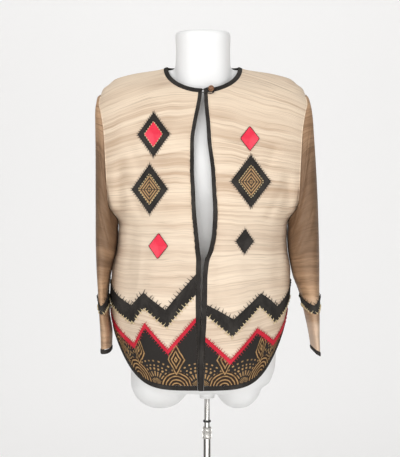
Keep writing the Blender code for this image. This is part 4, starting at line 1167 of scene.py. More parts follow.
def turned_wood(name, base, grain_colour):
    """Dark polished wood with a swirled grain."""
    finish = Finish(name)
    centre = [-c for c in button_centre()]
    place = finish.moved(finish.place(), tuple(centre))
    x, y, z = finish.parts(place)
    warp = finish.noise(place, (160, 160, 160), 2.0)
    turn = x.math("ARCTAN2", z, x)
    out = (x * x + z * z).math("SQRT", x * x + z * z)
    swirl = (turn * 2 + out * 1500 + warp * 5).math("SINE", turn * 2 + out * 1500 + warp * 5)
    fine = finish.noise(place, (500, 500, 2200), 3.0)
    tone = finish.mix(finish.between(swirl, -0.2, 0.9) * 0.65 + fine * 0.25, base, grain_colour)
    finish.set(Base_Color=tone, Roughness=0.28 + fine * 0.15, Normal=finish.bump(swirl, 0.0004, 0.5))
    return finish.material


def moulded_plastic(name, base, shade):
    """Off-white moulded plastic, faintly uneven, with soft gloss."""
    finish = Finish(name)
    place = finish.place()
    cloudy = finish.noise(place, (7, 7, 5), 3.0)
    grain = finish.noise(place, (420, 420, 420), 2.0)
    scuffs = finish.noise(place, (40, 40, 9), 4.0, 0.7)
    tone = finish.mix(finish.between(cloudy, 0.35, 0.70) * 0.6 + finish.between(scuffs, 0.62, 0.80) * 0.3, base, shade)
    finish.set(Base_Color=tone, Roughness=0.34 + scuffs * 0.16, Normal=finish.bump(grain, 0.0002, 0.25))
    return finish.material


def bright_steel(name, base, roughness, brushed=(60, 60, 900)):
    """Chrome-plated steel with faint drawn lines and finger marks."""
    finish = Finish(name)
    place = finish.place()
    drawn = finish.noise(place, brushed, 2.0)
    smears = finish.noise(place, (35, 35, 20), 4.0, 0.65)
    tone = finish.mix(finish.between(smears, 0.50, 0.75) * 0.25, base, (0.46, 0.46, 0.46, 1.0))
    rough = roughness + finish.between(smears, 0.45, 0.70) * 0.10 + drawn * 0.05
    finish.set(Base_Color=tone, Roughness=rough, Normal=finish.bump(drawn, 0.00005, 0.2))
    finish.set(Metallic=1.0)
    return finish.material


def moulded_rubber(name, base):
    """Matt black rubber with a fine grain and a dusty bloom."""
    finish = Finish(name)
    place = finish.place()
    grain = finish.noise(place, (900, 900, 900), 2.0)
    bloom = finish.noise(place, (90, 90, 90), 3.0)
    tone = finish.mix(finish.between(bloom, 0.45, 0.70) * 0.5, base, (0.07, 0.068, 0.066, 1.0))
    finish.set(Base_Color=tone, Roughness=0.55 + grain * 0.2, Normal=finish.bump(grain, 0.0002, 0.4))
    return finish.material


MATERIALS = {}


def material(name):
    """One of the jacket's or the stand's materials, made when it is first asked for."""
    if name in MATERIALS:
        return MATERIALS[name]
    colours = bpy.context.scene.jacket_colours
    stand = bpy.context.scene.stand_settings
    light, tan, brown = [colour(getattr(colours, key)) for key in ("silk_light", "silk_tan", "silk_brown")]
    black, red, trim = [colour(getattr(colours, key)) for key in ("black", "red", "trim")]
    ochre, cream = [colour(getattr(colours, key)) for key in ("ochre", "cream")]
    sleeve_light, sleeve_tan, sleeve_brown = [
        colour(getattr(colours, key)) for key in ("sleeve_light", "sleeve_tan", "sleeve_brown")
    ]
    lint = (0.060, 0.054, 0.048, 1.0)
    makers = {
        "slub_silk_right": lambda: slub_silk(name, light, tan, brown, 0.0),
        "slub_silk_left": lambda: slub_silk(name, light, tan, brown, 3.4, 1.05),
        "slub_silk_back": lambda: slub_silk(name, light, tan, brown, 7.7),
        # The sleeves' silk: colours partly their own browner silk and partly painted shade, with a band of painted
        # shade at middle heights
        "sleeve_silk_right": lambda: slub_silk(name, sleeve_light, sleeve_tan, sleeve_brown, 1.3, 1.2, SLEEVE_TONE_AND_PAINTED_SHADE, 0.1),
        "sleeve_silk_left": lambda: slub_silk(name, sleeve_light, sleeve_tan, sleeve_brown, 5.1, 1.2, SLEEVE_TONE_AND_PAINTED_SHADE, 0.6),
        "black_cotton": lambda: woven_cotton(name, black, lint),
        "red_cloth": lambda: woven_cotton(name, red, (0.95, 0.12, 0.17, 1.0), 0.7),
        "red_trim_cloth": lambda: woven_cotton(name, trim, (0.72, 0.045, 0.075, 1.0), 0.7),
        "printed_hem": lambda: printed_hem(name, black, colour(colours.print_ground), ochre),
        "nested_print": lambda: nested_print(name, colour(colours.print_ground), ochre),
        "black_thread": lambda: spun_thread(name, black, (0.012, 0.011, 0.010, 1.0)),
        "red_thread": lambda: spun_thread(name, trim, (0.30, 0.008, 0.020, 1.0)),
        "cream_thread": lambda: spun_thread(name, cream, (0.50, 0.38, 0.19, 1.0)),
        "turned_wood": lambda: turned_wood(name, colour(colours.wood), (0.42, 0.20, 0.09, 1.0)),
        "form_plastic": lambda: moulded_plastic(name, colour(stand.form_colour), (0.76, 0.76, 0.75, 1.0)),
        "polished_steel": lambda: bright_steel(name, colour(stand.steel_colour), stand.steel_roughness),
        "brushed_steel": lambda: bright_steel(name, colour(stand.steel_colour), 0.22, (260, 260, 20)),
        "black_rubber": lambda: moulded_rubber(name, (0.018, 0.018, 0.018, 1.0)),
    }
    MATERIALS[name] = makers[name]()
    return MATERIALS[name]


# Settings


class JacketSizes(PropertyGroup):
    """Sizes of the jacket's cloth, edges and stitches."""

    cloth: FloatProperty(name="Cloth", description="Thickness of the silk", default=0.0015, min=0.0003, unit="LENGTH")
    binding_width: FloatProperty(
        name="Binding width", description="Width of the bias binding on hem and fronts", default=0.010,
        min=0.004, unit="LENGTH")
    binding_height: FloatProperty(
        name="Binding thickness", description="Thickness of the folded binding", default=0.0030, min=0.001,
        unit="LENGTH")
    creases: FloatProperty(
        name="Creases", description="How deep the small creases are", default=1.25, min=0.0, max=2.0, subtype="FACTOR")
    ripples: FloatProperty(
        name="Ripples", description="How deep the level ripples are", default=1.0, min=0.0, max=2.0,
        subtype="FACTOR")
    stitch_spacing: FloatProperty(
        name="Stitch spacing", description="Distance between the whip stitches", default=0.0088, min=0.003,
        unit="LENGTH")
    stitch_length: FloatProperty(
        name="Stitch length", description="Length of a whip stitch", default=0.0078, min=0.002, unit="LENGTH")
    thread: FloatProperty(
        name="Thread", description="Radius of the whip stitch thread", default=0.00085, min=0.0002, unit="LENGTH")
    columns: IntProperty(
        name="Columns", description="Points across half of the body", default=80, min=20, max=160)
    rows: IntProperty(name="Rows", description="Points up the body", default=150, min=40, max=300)


class JacketColours(PropertyGroup):
    """Colours of the jacket's cloths and threads."""

    silk_light: FloatVectorProperty(
        name="Silk ground", description="Palest silk of the body", default=(0.80, 0.655, 0.50), size=3,
        subtype="COLOR", min=0, max=1)
    silk_tan: FloatVectorProperty(
        name="Silk bands", description="Tan bands in the body's silk", default=(0.53, 0.375, 0.255), size=3,
        subtype="COLOR", min=0, max=1)
    silk_brown: FloatVectorProperty(
        name="Silk threads", description="Brown threads in the body's silk", default=(0.27, 0.175, 0.11), size=3,
        subtype="COLOR", min=0, max=1)
    # The sleeves' colours are darker than the body's: partly the sleeves' own browner silk, partly painted shade
    sleeve_light: FloatVectorProperty(
        name="Sleeve ground", description="Palest silk of the sleeves", default=(0.50, 0.315, 0.185), size=3,
        subtype="COLOR", min=0, max=1)
    sleeve_tan: FloatVectorProperty(
        name="Sleeve bands", description="Bands in the sleeves' silk", default=(0.27, 0.155, 0.083), size=3,
        subtype="COLOR", min=0, max=1)
    sleeve_brown: FloatVectorProperty(
        name="Sleeve threads", description="Dark threads in the sleeves' silk", default=(0.100, 0.052, 0.026), size=3,
        subtype="COLOR", min=0, max=1)
    black: FloatVectorProperty(
        name="Black", description="Bindings and zigzag band", default=(0.023, 0.020, 0.018), size=3,
        subtype="COLOR", min=0, max=1)
    red: FloatVectorProperty(
        name="Red", description="Red lozenges", default=(0.80, 0.034, 0.072), size=3, subtype="COLOR",
        min=0, max=1)
    trim: FloatVectorProperty(
        name="Trim", description="Red zigzag trim and its thread", default=(0.54, 0.014, 0.034), size=3,
        subtype="COLOR", min=0, max=1)
    ochre: FloatVectorProperty(
        name="Ochre", description="Lines of the prints", default=(0.44, 0.265, 0.115), size=3, subtype="COLOR",
        min=0, max=1)
    print_ground: FloatVectorProperty(
        name="Print ground", description="Brown-black cloth between the printed lines",
        default=(0.026, 0.014, 0.009), size=3, subtype="COLOR", min=0, max=1)
    cream: FloatVectorProperty(
        name="Cream", description="Cream thread", default=(0.86, 0.72, 0.44), size=3, subtype="COLOR", min=0, max=1)
    wood: FloatVectorProperty(
        name="Wood", description="The button's wood", default=(0.10, 0.040, 0.020), size=3, subtype="COLOR",
        min=0, max=1)


class StandSettings(PropertyGroup):
    """Looks of the dress form and its stand."""

    form_colour: FloatVectorProperty(
        name="Form", description="Colour of the dress form's plastic", default=(0.85, 0.85, 0.845), size=3,
        subtype="COLOR", min=0, max=1)
    steel_colour: FloatVectorProperty(
        name="Steel", description="Colour of the plated steel", default=(0.60, 0.585, 0.56), size=3,
        subtype="COLOR", min=0, max=1)
    steel_roughness: FloatProperty(
        name="Steel roughness", description="Roughness of the plated steel", default=0.12, min=0.0, max=1.0,
        subtype="FACTOR")
    form_voxel: FloatProperty(
        name="Form detail", description="Size of the cells in which the form is smoothed", default=0.0045,
        min=0.002, unit="LENGTH")


class StudioSettings(PropertyGroup):
    """The studio's light and camera."""

    key_power: FloatProperty(name="Key light", description="Power of the key light", default=37.0, min=0,
                             unit="POWER")
    fill_power: FloatProperty(name="Fill light", description="Power of the fill light", default=20.0, min=0,
                              unit="POWER")
    backdrop_power: FloatProperty(
        name="Backdrop light", description="Power of the light on the backdrop", default=44.0, min=0, unit="POWER")
    sky: FloatProperty(name="Room light", description="Strength of the light from all round", default=0.60, min=0)
    distance: FloatProperty(
        name="Camera distance", description="How far in front of the pole the camera stands", default=2.6, min=1.0,
        unit="LENGTH")
    height: FloatProperty(
        name="Camera height", description="Height of the camera", default=1.007, min=0.1, unit="LENGTH")
    lens: FloatProperty(name="Lens", description="Focal length in millimetres", default=93.0, min=20, max=300)


# Pieces of the jacket


def panel_grid(face):
    """The grids of one face's two halves."""
    sizes = bpy.context.scene.jacket_sizes
    return [half_panel(side, face, sizes.columns, sizes.rows) for side in SIDES]


class JACKET_OT_fronts(Operator):
    """Cuts the two fronts and hangs them on the form"""

    bl_idname = "jacket.fronts"
    bl_label = "Fronts"

    def execute(self, context):
        cloth = context.scene.jacket_sizes.cloth
        for (side, word), grid in zip(SIDES.items(), panel_grid(FRONT)):
            uv = body_uv(side, FRONT, grid[..., :3])
            laid_cloth("jacket_front_" + word, grid, uv, cloth, material("slub_silk_" + word), "slub_silk",
                       ["front_" + word], ["form_body"])
        return {"FINISHED"}


class JACKET_OT_back(Operator):
    """Cuts the back and hangs it on the form"""

    bl_idname = "jacket.back"
    bl_label = "Back"

    def execute(self, context):
        grid = both_halves(*panel_grid(BACK))
        uv = body_uv(WEARER_RIGHT, BACK, grid[..., :3])
        laid_cloth("jacket_back", grid, uv, context.scene.jacket_sizes.cloth, material("slub_silk_back"),
                   "slub_silk", ["back"], ["form_body"])
        return {"FINISHED"}


def sleeve_uv(points):
    """Lengths of cloth round and along a sleeve."""
    run = running(np.linalg.norm(np.diff(points, axis=0), axis=-1).mean(axis=1))
    along = running(np.linalg.norm(np.diff(points, axis=1), axis=-1).mean(axis=0))
    up = 0.72 * points[..., 2] - 0.28 * along[None, :]
    return np.stack(np.broadcast_arrays(run[:, None], up), axis=-1)


class JACKET_OT_sleeves(Operator):
    """Sets in the two sleeves, with their zigzag and bound cuffs"""

    bl_idname = "jacket.sleeves"
    bl_label = "Sleeves"

    def execute(self, context):
        sizes = context.scene.jacket_sizes
        angles = np.linspace(0, 2 * math.pi, 97)
        rings = np.concatenate([np.linspace(0, 1, 16)[:-1], np.linspace(1, CUFF_RING - CUFF_SEAM, 150)])
        upper, lower = [zigzag_ring(angles, name) for name in ("upper_ring", "lower_ring")]
        shares = np.linspace(0, 1, 12)[None, :]
        band_rings = upper[:, None] + (lower - upper)[:, None] * shares
        for side in SIDES:
            word = SIDES[side]
            grid = sleeve_grid(side, angles[:, None], rings[None, :])
            name = "jacket_sleeve_" + word
            laid_cloth(name, grid, sleeve_uv(grid[..., :3]), sizes.cloth, material("sleeve_silk_" + word),
                       "sleeve_silk", ["sleeve_" + word], ["jacket_front_" + word, "jacket_back"], closed=True)
            band = sleeve_grid(side, angles[:, None], band_rings)
            laid_cloth("sleeve_zigzag_" + word, band, sleeve_uv(band[..., :3]), sizes.cloth + OVERLAY_GAP + OVERLAY,
                       material("black_cotton"), "black_cotton", ["sleeve_band_" + word], [name], "laid", OVERLAY,
                       closed=True)
            edges = sleeve_points(side, np.array([[0.0]]), np.array([[CUFF_RING, LAST_RING]]))[0]
            width = float(np.linalg.norm(edges[1] - edges[0]))

            def cuff(along, inset, side=side, width=width):
                return sleeve_grid(side, along, LAST_RING - inset / width * (LAST_RING - CUFF_RING))

            binding_piece("cuff_edge_" + word, cuff, angles, width, material("black_cotton"),
                          ["cuff_binding_" + word], ring=True)
        return {"FINISHED"}


class JACKET_OT_bindings(Operator):
    """Binds the hem, the fronts and the neck"""

    bl_idname = "jacket.bindings"
    bl_label = "Bindings"

    def execute(self, context):
        sizes = context.scene.jacket_sizes
        width = sizes.binding_width
        black = material("black_cotton")
        for side in SIDES:
            word = SIDES[side]

            def hem(across, inset, side=side):
                z = hem_height(across) + hem_inset(across, inset)
                return cloth_grid(side, FRONT, spread_x(side, FRONT, across, z, width + SEAM), z)

            binding_piece("hem_edge_" + word, hem, np.linspace(0, 1, 90), width, black, ["hem_binding_" + word])
            high = neck_curve(FRONT, 0.0, NECK_BINDING_WIDTH + SEAM)[1]

            def front(z, inset, side=side):
                return cloth_grid(side, FRONT, front_edge(side, z) + inset, z)

            binding_piece("front_edge_" + word, front, np.linspace(HEM_CENTRE_Z, high, 160), width, black,
                          ["front_binding_" + word])

        def back_hem(across, inset):
            z = hem_height(np.abs(across)) + hem_inset(np.abs(across), inset)
            x = spread_x(WEARER_LEFT, BACK, np.abs(across), z)
            right = cloth_grid(WEARER_RIGHT, BACK, x, z)
            left = cloth_grid(WEARER_LEFT, BACK, x, z)
            return np.where((np.broadcast_to(across, z.shape) < 0)[..., None], right, left)

        binding_piece("hem_edge_back", back_hem, np.linspace(-1, 1, 180), width, black, ["hem_binding_back"])
        binding_piece("neck_edge", neck_place, np.linspace(-2, 2, 241), NECK_BINDING_WIDTH, black,
                      ["neck_binding"])
        return {"FINISHED"}


def neck_place(along, inset):
    """The neck's edge, from the right front (-2) over the back's middle (0) to the left front (2)."""
    along, inset = np.broadcast_arrays(along, inset)
    grids = []
    for side, face in ((WEARER_RIGHT, FRONT), (WEARER_RIGHT, BACK), (WEARER_LEFT, BACK), (WEARER_LEFT, FRONT)):
        turn = np.clip(2 - np.abs(along) if face == FRONT else np.abs(along), 0, 1)
        x, z = np.moveaxis(neck_curve(face, turn * math.pi / 2, inset), -1, 0)
        if face == FRONT:
            x = np.maximum(front_edge(side, z), x)
        grids.append(cloth_grid(side, face, x, z))
    quarter = np.select([along < -1, along < 0, along <= 1], [0, 1, 2], 3)
    return np.choose(quarter[..., None], grids)


def border_uv(grid):
    """Lengths of cloth along a border and above its lower edge."""
    points = grid[..., :3]
    run = run_lengths(points[:, 0])
    rise = running(np.linalg.norm(np.diff(points, axis=1), axis=-1).T).T
    return np.stack([np.broadcast_to(run[:, None], rise.shape), rise], axis=-1)


class JACKET_OT_borders(Operator):
    """Lays the black zigzag, the red trim and the printed hem on the panels"""

    bl_idname = "jacket.borders"
    bl_label = "Borders"

    def execute(self, context):
        sizes = context.scene.jacket_sizes
        inset = sizes.binding_width + SEAM
        lift = sizes.cloth + OVERLAY_GAP + OVERLAY
        layers = (
            # piece, CAD node, top line, bottom line, rows, material, slot, extra lift
            ("zigzag_band", "chevron_band", ("band_top", 0.0), ("band_bottom", 0.0), 14, "black_cotton",
             "black_cotton", 0.0),
            ("red_zigzag", "red_trim", ("trim_top", 0.0), ("trim_top", TRIM_WIDTH), 8, "red_trim_cloth", "red_cloth",
             0.0004),
            ("printed_hem", "hem_panel", ("trim_top", TRIM_WIDTH + SEAM), None, 40, "printed_hem",
             "printed_cloth", 0.0),
        )
        for base, node, top, bottom, rows, cloth_name, slot, extra in layers:
            grids = {}
            for face, side in HALVES:
                upper = zigzag_line(side, face, *top)
                lower = zigzag_line(side, face, *bottom) if bottom else hem_line(inset)
                grids[(face, side)] = border_grid(side, face, upper, lower, sizes.columns, rows, inset)
            panels = {
                "right": (grids[(FRONT, WEARER_RIGHT)], "jacket_front_right"),
                "left": (grids[(FRONT, WEARER_LEFT)], "jacket_front_left"),
                "back": (both_halves(grids[(BACK, WEARER_RIGHT)], grids[(BACK, WEARER_LEFT)]), "jacket_back"),
            }
            for word, (grid, carrier) in panels.items():
                laid_cloth(f"{base}_{word}", grid, border_uv(grid), lift + extra, material(cloth_name), slot,
                           [f"{node}_{word}"], [carrier], "laid", OVERLAY)
        return {"FINISHED"}


class JACKET_OT_lozenges(Operator):
    """Lays the lozenges and their insets on the fronts"""

    bl_idname = "jacket.lozenges"
    bl_label = "Lozenges"

    def execute(self, context):
        cells = np.linspace(-1, 1, 25)
        p, q = np.meshgrid(cells, cells, indexing="ij")
        cloth = context.scene.jacket_sizes.cloth
        lifts = {1: cloth + OVERLAY_GAP + OVERLAY, 2: cloth + 2 * OVERLAY_GAP + OVERLAY + INSET}
        for name, node, side, x, z, half_width, half_height, layer, slot in LOZENGES:
            grid = cloth_grid(side, FRONT, x + half_width * (p - q) / 2, z + half_height * (p + q) / 2)
            edge = math.hypot(half_width, half_height) / 2
            uv = np.stack([p * edge, q * edge], axis=-1)
            look = material("nested_print" if slot == "printed_cloth" else slot)
            carrier = name.replace("_inset", "") if layer == 2 else "jacket_front_" + SIDES[side]
            laid_cloth(name, grid, uv, lifts[layer], look, slot, [node], [carrier], "laid",
                       OVERLAY if layer == 1 else INSET)
        return {"FINISHED"}


def stitch_shape():
    """One arched stitch along Z, one unit long and one in radius, as arrays of its points and faces."""
    deselect()
    bpy.ops.mesh.primitive_cylinder_add(vertices=6, radius=1, depth=1, end_fill_type="NGON")
    piece = named("stitch")
    bpy.ops.object.mode_set(mode="EDIT")
    for height in (-0.3, 0.0, 0.3):
        bpy.ops.mesh.select_all(action="SELECT")
        bpy.ops.mesh.bisect(plane_co=(0, 0, height), plane_no=(0, 0, 1))
    bpy.ops.object.mode_set(mode="OBJECT")
    for height, size, drop in ((0.5, 0.45, -1.6), (0.3, 0.9, -0.4)):
        for vertex in piece.data.vertices:
            vertex.select = abs(abs(vertex.co.z) - height) < 0.01
        bpy.ops.object.mode_set(mode="EDIT")
        bpy.ops.transform.resize(value=(size, size, 1), center_override=(0, 0, 0))
        bpy.ops.transform.translate(value=(drop, 0, 0))
        bpy.ops.object.mode_set(mode="OBJECT")
    points = np.array([vertex.co for vertex in piece.data.vertices])
    faces = [tuple(polygon.vertices) for polygon in piece.data.polygons]
    bpy.data.objects.remove(piece)
    return points, faces


def sewn(name, starts, ends, outward, radius, look, slot):
    """Copies of one stitch from each start to its end, arched away from the cloth."""
    shape, faces = stitch_shape()
    starts, ends, outward = [np.asarray(values, float) for values in (starts, ends, outward)]
    along = ends - starts
    aside = unit(np.cross(along, outward))
    points = (
        starts[:, None] + along[:, None] * (shape[None, :, 2:] + 0.5)
        + outward[:, None] * radius * (shape[None, :, :1] + 0.9) + aside[:, None] * radius * shape[None, :, 1:2]
    )
    mesh = bpy.data.meshes.new(name)
    every = [tuple(k + n * len(shape) for k in face) for n in range(len(starts)) for face in faces]
    mesh.from_pydata(points.reshape(-1, 3).tolist(), [], every)
    piece = bpy.data.objects.new(name, mesh)
    bpy.context.scene.collection.objects.link(piece)
    face_outward(piece)
    shade_by_angle(piece, 60)
    settle(piece, look, [], "form")


def stitches_on_line(place, shares, spacing, inward, outward_length, lift, jitter, seed):
    """Starts, ends and outward directions of stitches square to a line on the cloth."""
    random = np.random.default_rng(seed)
    fine = place(np.linspace(*shares, 600))
    run = run_lengths(fine[:, :3])
    count = max(2, int(run[-1] / spacing))
    wanted = (np.arange(count) + 0.5 + random.uniform(-0.18, 0.18, count)) / count * run[-1]
    at = np.stack([np.interp(wanted, run, fine[:, k]) for k in range(6)], axis=-1)
    before, after = [np.stack([np.interp(wanted + step, run, fine[:, k]) for k in range(3)], axis=-1)
                     for step in (-SLOPE_STEP, SLOPE_STEP)]
    along = unit(after - before)
    normal = unit(at[:, 3:])
    square = np.cross(normal, along)
    square *= np.sign(square[:, 2:]) + (square[:, 2:] == 0)
    lean = along * random.uniform(-jitter, jitter, (count, 1)) * outward_length
    length = outward_length * random.uniform(0.75, 1.25, (count, 1))
    base = shift_to_garment(at[:, :3]) + normal * lift
    return base - square * inward, base + square * length + lean, normal


class JACKET_OT_stitching(Operator):
    """Sews the whip stitches along the zigzags and round the lozenges"""

    bl_idname = "jacket.stitching"
    bl_label = "Stitching"

    def execute(self, context):
        sizes = context.scene.jacket_sizes
        inset = sizes.binding_width + SEAM
        lift = sizes.cloth + OVERLAY_GAP + OVERLAY
        edges = (
            # piece, line, drop, spacing, reach into the cloth below, reach above, thread, radius, jitter, slot
            ("band_stitches", "band_top", 0.0, 1.0, 0.0020, 0.95, "black_thread", 1.0, 0.30, "black_cotton"),
            ("cream_stitches", "band_bottom", 0.0, 1.0, 0.0050, 0.85, "cream_thread", 1.35, 0.25, "slub_silk"),
            ("red_stitches_upper", "trim_top", 0.0, 0.60, 0.0020, 0.62, "red_thread", 0.90, 0.45, "red_cloth"),
            ("red_stitches_lower", "trim_top", TRIM_WIDTH, 0.75, 0.0050, 0.35, "red_thread", 0.90, 0.45,
             "red_cloth"),
        )
        for number, (name, column, drop, gap, below, above, thread, thick, jitter, slot) in enumerate(edges):
            starts, ends, outward = [], [], []
            for index, (face, side) in enumerate(HALVES):
                line = zigzag_line(side, face, column, drop)

                def place(across, side=side, face=face, line=line):
                    z = line(across)
                    return cloth_grid(side, face, spread_x(side, face, across, z, inset), z)

                found = stitches_on_line(place, (0.01, 0.99), sizes.stitch_spacing * gap, below,
                                         sizes.stitch_length * above, lift + 0.0002, jitter, 10 * number + index)
                for values, more in zip((starts, ends, outward), found):
                    values.append(more)
            sewn(name, np.concatenate(starts), np.concatenate(ends), np.concatenate(outward),
                 sizes.thread * thick, material(thread), slot)
        self.sew_sleeves(sizes, lift)
        self.sew_lozenges(sizes)
        return {"FINISHED"}

    def sew_sleeves(self, sizes, lift):
        """The same black and cream stitches on the zigzags of the sleeves."""
        edges = (
            ("sleeve_stitches", "upper_ring", 0.0020, 0.80, "black_thread", 1.0, "black_cotton"),
            ("sleeve_cream_stitches", "lower_ring", 0.0040, 0.70, "cream_thread", 1.2, "slub_silk"),
        )
        for number, (name, column, below, above, thread, thick, slot) in enumerate(edges):
            found = []
            for side in SIDES:

                def place(share, side=side, column=column):
                    angles = share[:, None] * 2 * math.pi
                    return sleeve_grid(side, angles, zigzag_ring(angles, column))[:, 0]

                found.append(stitches_on_line(place, (0.0, 1.0), sizes.stitch_spacing, below,
                                              sizes.stitch_length * above, lift + 0.0002, 0.25,
                                              200 + 10 * number + side))
            sewn(name, *[np.concatenate(values) for values in zip(*found)], sizes.thread * thick,
                 material(thread), slot)

    def sew_lozenges(self, sizes):
        """Spikes on the black lozenges, cream dashes round the insets and a dark cord round the red ones."""
        spikes, dashes, cords = ([], [], []), ([], [], []), ([], [], [])
        for index, (name, node, side, x, z, half_width, half_height, layer, slot) in enumerate(LOZENGES):
            random = np.random.default_rng(100 + index)
            corners = np.array([(half_width, 0), (0, half_height), (-half_width, 0), (0, -half_height),
                                (half_width, 0)], float)
            run = run_lengths(corners)
            if layer == 2:
                spacing, kind = 0.0058, dashes
            elif slot == "red_cloth":
                spacing, kind = 0.0040, cords
            else:
                spacing, kind = 0.0052, spikes
            count = int(round(run[-1] / spacing))
            middle = (np.arange(count) + 0.5) / count * run[-1]
            step = run[-1] / count

            def at(distance, out=0.0):
                flat = np.stack([np.interp(distance % run[-1], run, corners[:, k]) for k in (0, 1)], axis=-1)
                grown = flat * (1 + out / min(half_width, half_height))
                return cloth_grid(side, FRONT, x + grown[:, 0], z + grown[:, 1])

            height = sizes.cloth + OVERLAY_GAP + OVERLAY + (OVERLAY_GAP + INSET if layer == 2 else 0.0)
            if kind is spikes:
                inner, outer = at(middle, -0.0015), at(middle + random.uniform(-0.001, 0.001, count), 0.0045)
            elif kind is dashes:
                inner, outer = at(middle - step * 0.33, 0.0004), at(middle + step * 0.33, 0.0004)
            else:
                inner, outer = at(middle - step * 0.60, 0.0004), at(middle + step * 0.60, 0.0004)
            for values, more in zip(kind, (
                    shift_to_garment(inner[:, :3]) + inner[:, 3:] * height,
                    shift_to_garment(outer[:, :3]) + outer[:, 3:] * height, inner[:, 3:])):
                values.append(more)
        for name, kind, radius, thread, slot in (
                ("lozenge_spikes", spikes, 0.00065, "black_thread", "black_cotton"),
                ("inset_stitches", dashes, 0.00115, "cream_thread", "slub_silk"),
                ("lozenge_cord", cords, 0.00080, "black_thread", "black_cotton")):
            sewn(name, *[np.concatenate(values) for values in kind], radius, material(thread), slot)


def over_binding(x, z, distance):
    """A point this far in front of the neck binding's face, at a place seen from the front."""
    side = WEARER_LEFT if x > 0 else WEARER_RIGHT
    place = cloth_grid(side, FRONT, side * x, z)
    height = bpy.context.scene.jacket_sizes.binding_height
    return shift_to_garment(place[:3] + place[3:] * (height - BINDING_INSIDE + distance))


def button_centre():
    return tuple(float(c) for c in over_binding(BUTTON_X, BUTTON_Z, BUTTON_RADIUS + SEAM))


class JACKET_OT_button(Operator):
    """Turns the button and sews its loop on"""

    bl_idname = "jacket.button"
    bl_label = "Button and loop"

    def execute(self, context):
        centre = Vector(button_centre())
        deselect()
        bpy.ops.mesh.primitive_uv_sphere_add(segments=48, ring_count=24, radius=BUTTON_RADIUS, location=(0, 0, 0))
        piece = named("button_ball")
        for degrees in (24, 66, 114, 156):
            height = BUTTON_RADIUS * math.cos(math.radians(degrees))
            for edge in piece.data.edges:
                edge.select = False
            for polygon in piece.data.polygons:
                polygon.select = abs(polygon.center.z - height) < BUTTON_RADIUS * 0.06
            bpy.ops.object.mode_set(mode="EDIT")
            bpy.ops.mesh.inset(thickness=0.00012, depth=-0.00025)
            bpy.ops.object.mode_set(mode="OBJECT")
            for polygon in piece.data.polygons:
                polygon.select = False
        bpy.ops.object.mode_set(mode="EDIT")
        bpy.ops.mesh.select_all(action="SELECT")
        bpy.ops.transform.rotate(value=math.radians(62), orient_axis="X", center_override=(0, 0, 0))
        bpy.ops.transform.rotate(value=math.radians(28), orient_axis="Y", center_override=(0, 0, 0))
        bpy.ops.transform.translate(value=centre)
        bpy.ops.object.mode_set(mode="OBJECT")
        shade_by_angle(piece, 40)
        settle(piece, material("turned_wood"), ["button"], "form")
        self.loop()
        return {"FINISHED"}

    def loop(self):
        turns = np.linspace(math.pi / 2, -math.pi / 2, 25)
        upper, lower = LOOP_START_Z
        near = BUTTON_X - 0.004
        route = [(x, upper + (BUTTON_Z + LOOP_BEND - upper) * step_between(LOOP_START_X, BUTTON_X, x))
                 for x in np.linspace(LOOP_START_X, near, 10)]
        route += [(BUTTON_X + LOOP_BEND * math.cos(t), BUTTON_Z + LOOP_BEND * math.sin(t)) for t in turns]
        route += [(x, lower + (BUTTON_Z - LOOP_BEND - lower) * step_between(LOOP_START_X, BUTTON_X, x))
                  for x in np.linspace(near, LOOP_START_X, 10)]
        middle = np.array([over_binding(x, z, LOOP_GAP + LOOP_RADIUS) for x, z in route])
        ahead = unit(np.gradient(middle, axis=0))
        aside = unit(np.cross(ahead, np.array([0, -1, 0])))
        over = np.cross(aside, ahead)
        turns = np.linspace(0, 2 * math.pi, 17)
        twist = np.linspace(0, 34, len(middle))[:, None]
        radius = LOOP_RADIUS * (0.94 + 0.06 * np.cos(3 * (turns[None, :] + twist)))
        points = (middle[:, None] + aside[:, None] * (radius * np.cos(turns))[..., None]
                  + over[:, None] * (radius * np.sin(turns))[..., None])
        points = capped(points, [middle[0], middle[-1]])
        run = run_lengths(points.mean(axis=1))
        uv = np.stack(np.broadcast_arrays(run[:, None], turns[None, :] * LOOP_RADIUS), axis=-1)
        piece = grid_piece("loop_cord", points, uv)
        close_up(piece)
        shade_by_angle(piece, 60)
        settle(piece, material("black_cotton"), ["button_loop"], "form")


def section_ring(row, sides):
    """One level ring of the form, given as height, half width, front, back, middle x and middle y."""
    height, half_width, front, back, middle_x, middle_y = row
    angle = np.linspace(0, 2 * math.pi, sides + 1)
    sine = np.sin(angle)
    x = squared(np.cos(angle), 2 / SECTION_POWER) * half_width
    y = squared(sine, 2 / SECTION_POWER) * np.where(sine > 0, back, front)
    return np.stack([middle_x + x + GARMENT_X, middle_y + y, np.full(sides + 1, height)], axis=-1)


def torso_rows():
    rows = []
    names = ("half_width", "front", "back")
    for z in np.concatenate([np.linspace(0.648, 0.680, 14), np.linspace(0.684, FORM_SHOULDER_TOP_Z, 150)]):
        if z <= FORM["height"][-1]:
            sizes = [float(smooth(FORM["height"], FORM[name], z)) for name in names]
        else:
            sizes = [float(body_size(name, z + FORM_SHOULDER_GAP)) for name in names]
            sizes = [min(sizes[0], FORM["half_width"][-1])] + [s * FORM_SHOULDER_SHARE for s in sizes[1:]]
        rows.append((z, *sizes, 0, 0))
    return rows


def neck_rows():
    rows = []
    low, top = NECK["height"][[0, -1]]
    for z in np.concatenate([np.linspace(low, top - 0.006, 40), np.linspace(top - 0.005, top, 7)]):
        width, depth = [float(smooth(NECK["height"], NECK[name], z)) for name in ("half_width", "half_depth")]
        edge = max(0.0, (z - top + NECK_EDGE) / NECK_EDGE)
        shrink = 1 - NECK_EDGE_SHRINK * (1 - math.sqrt(max(0.0, 1 - min(1.0, edge) ** 2)))
        rows.append((z, width * shrink, depth * shrink, depth * shrink, 0, NECK_MIDDLE_Y))
    return rows


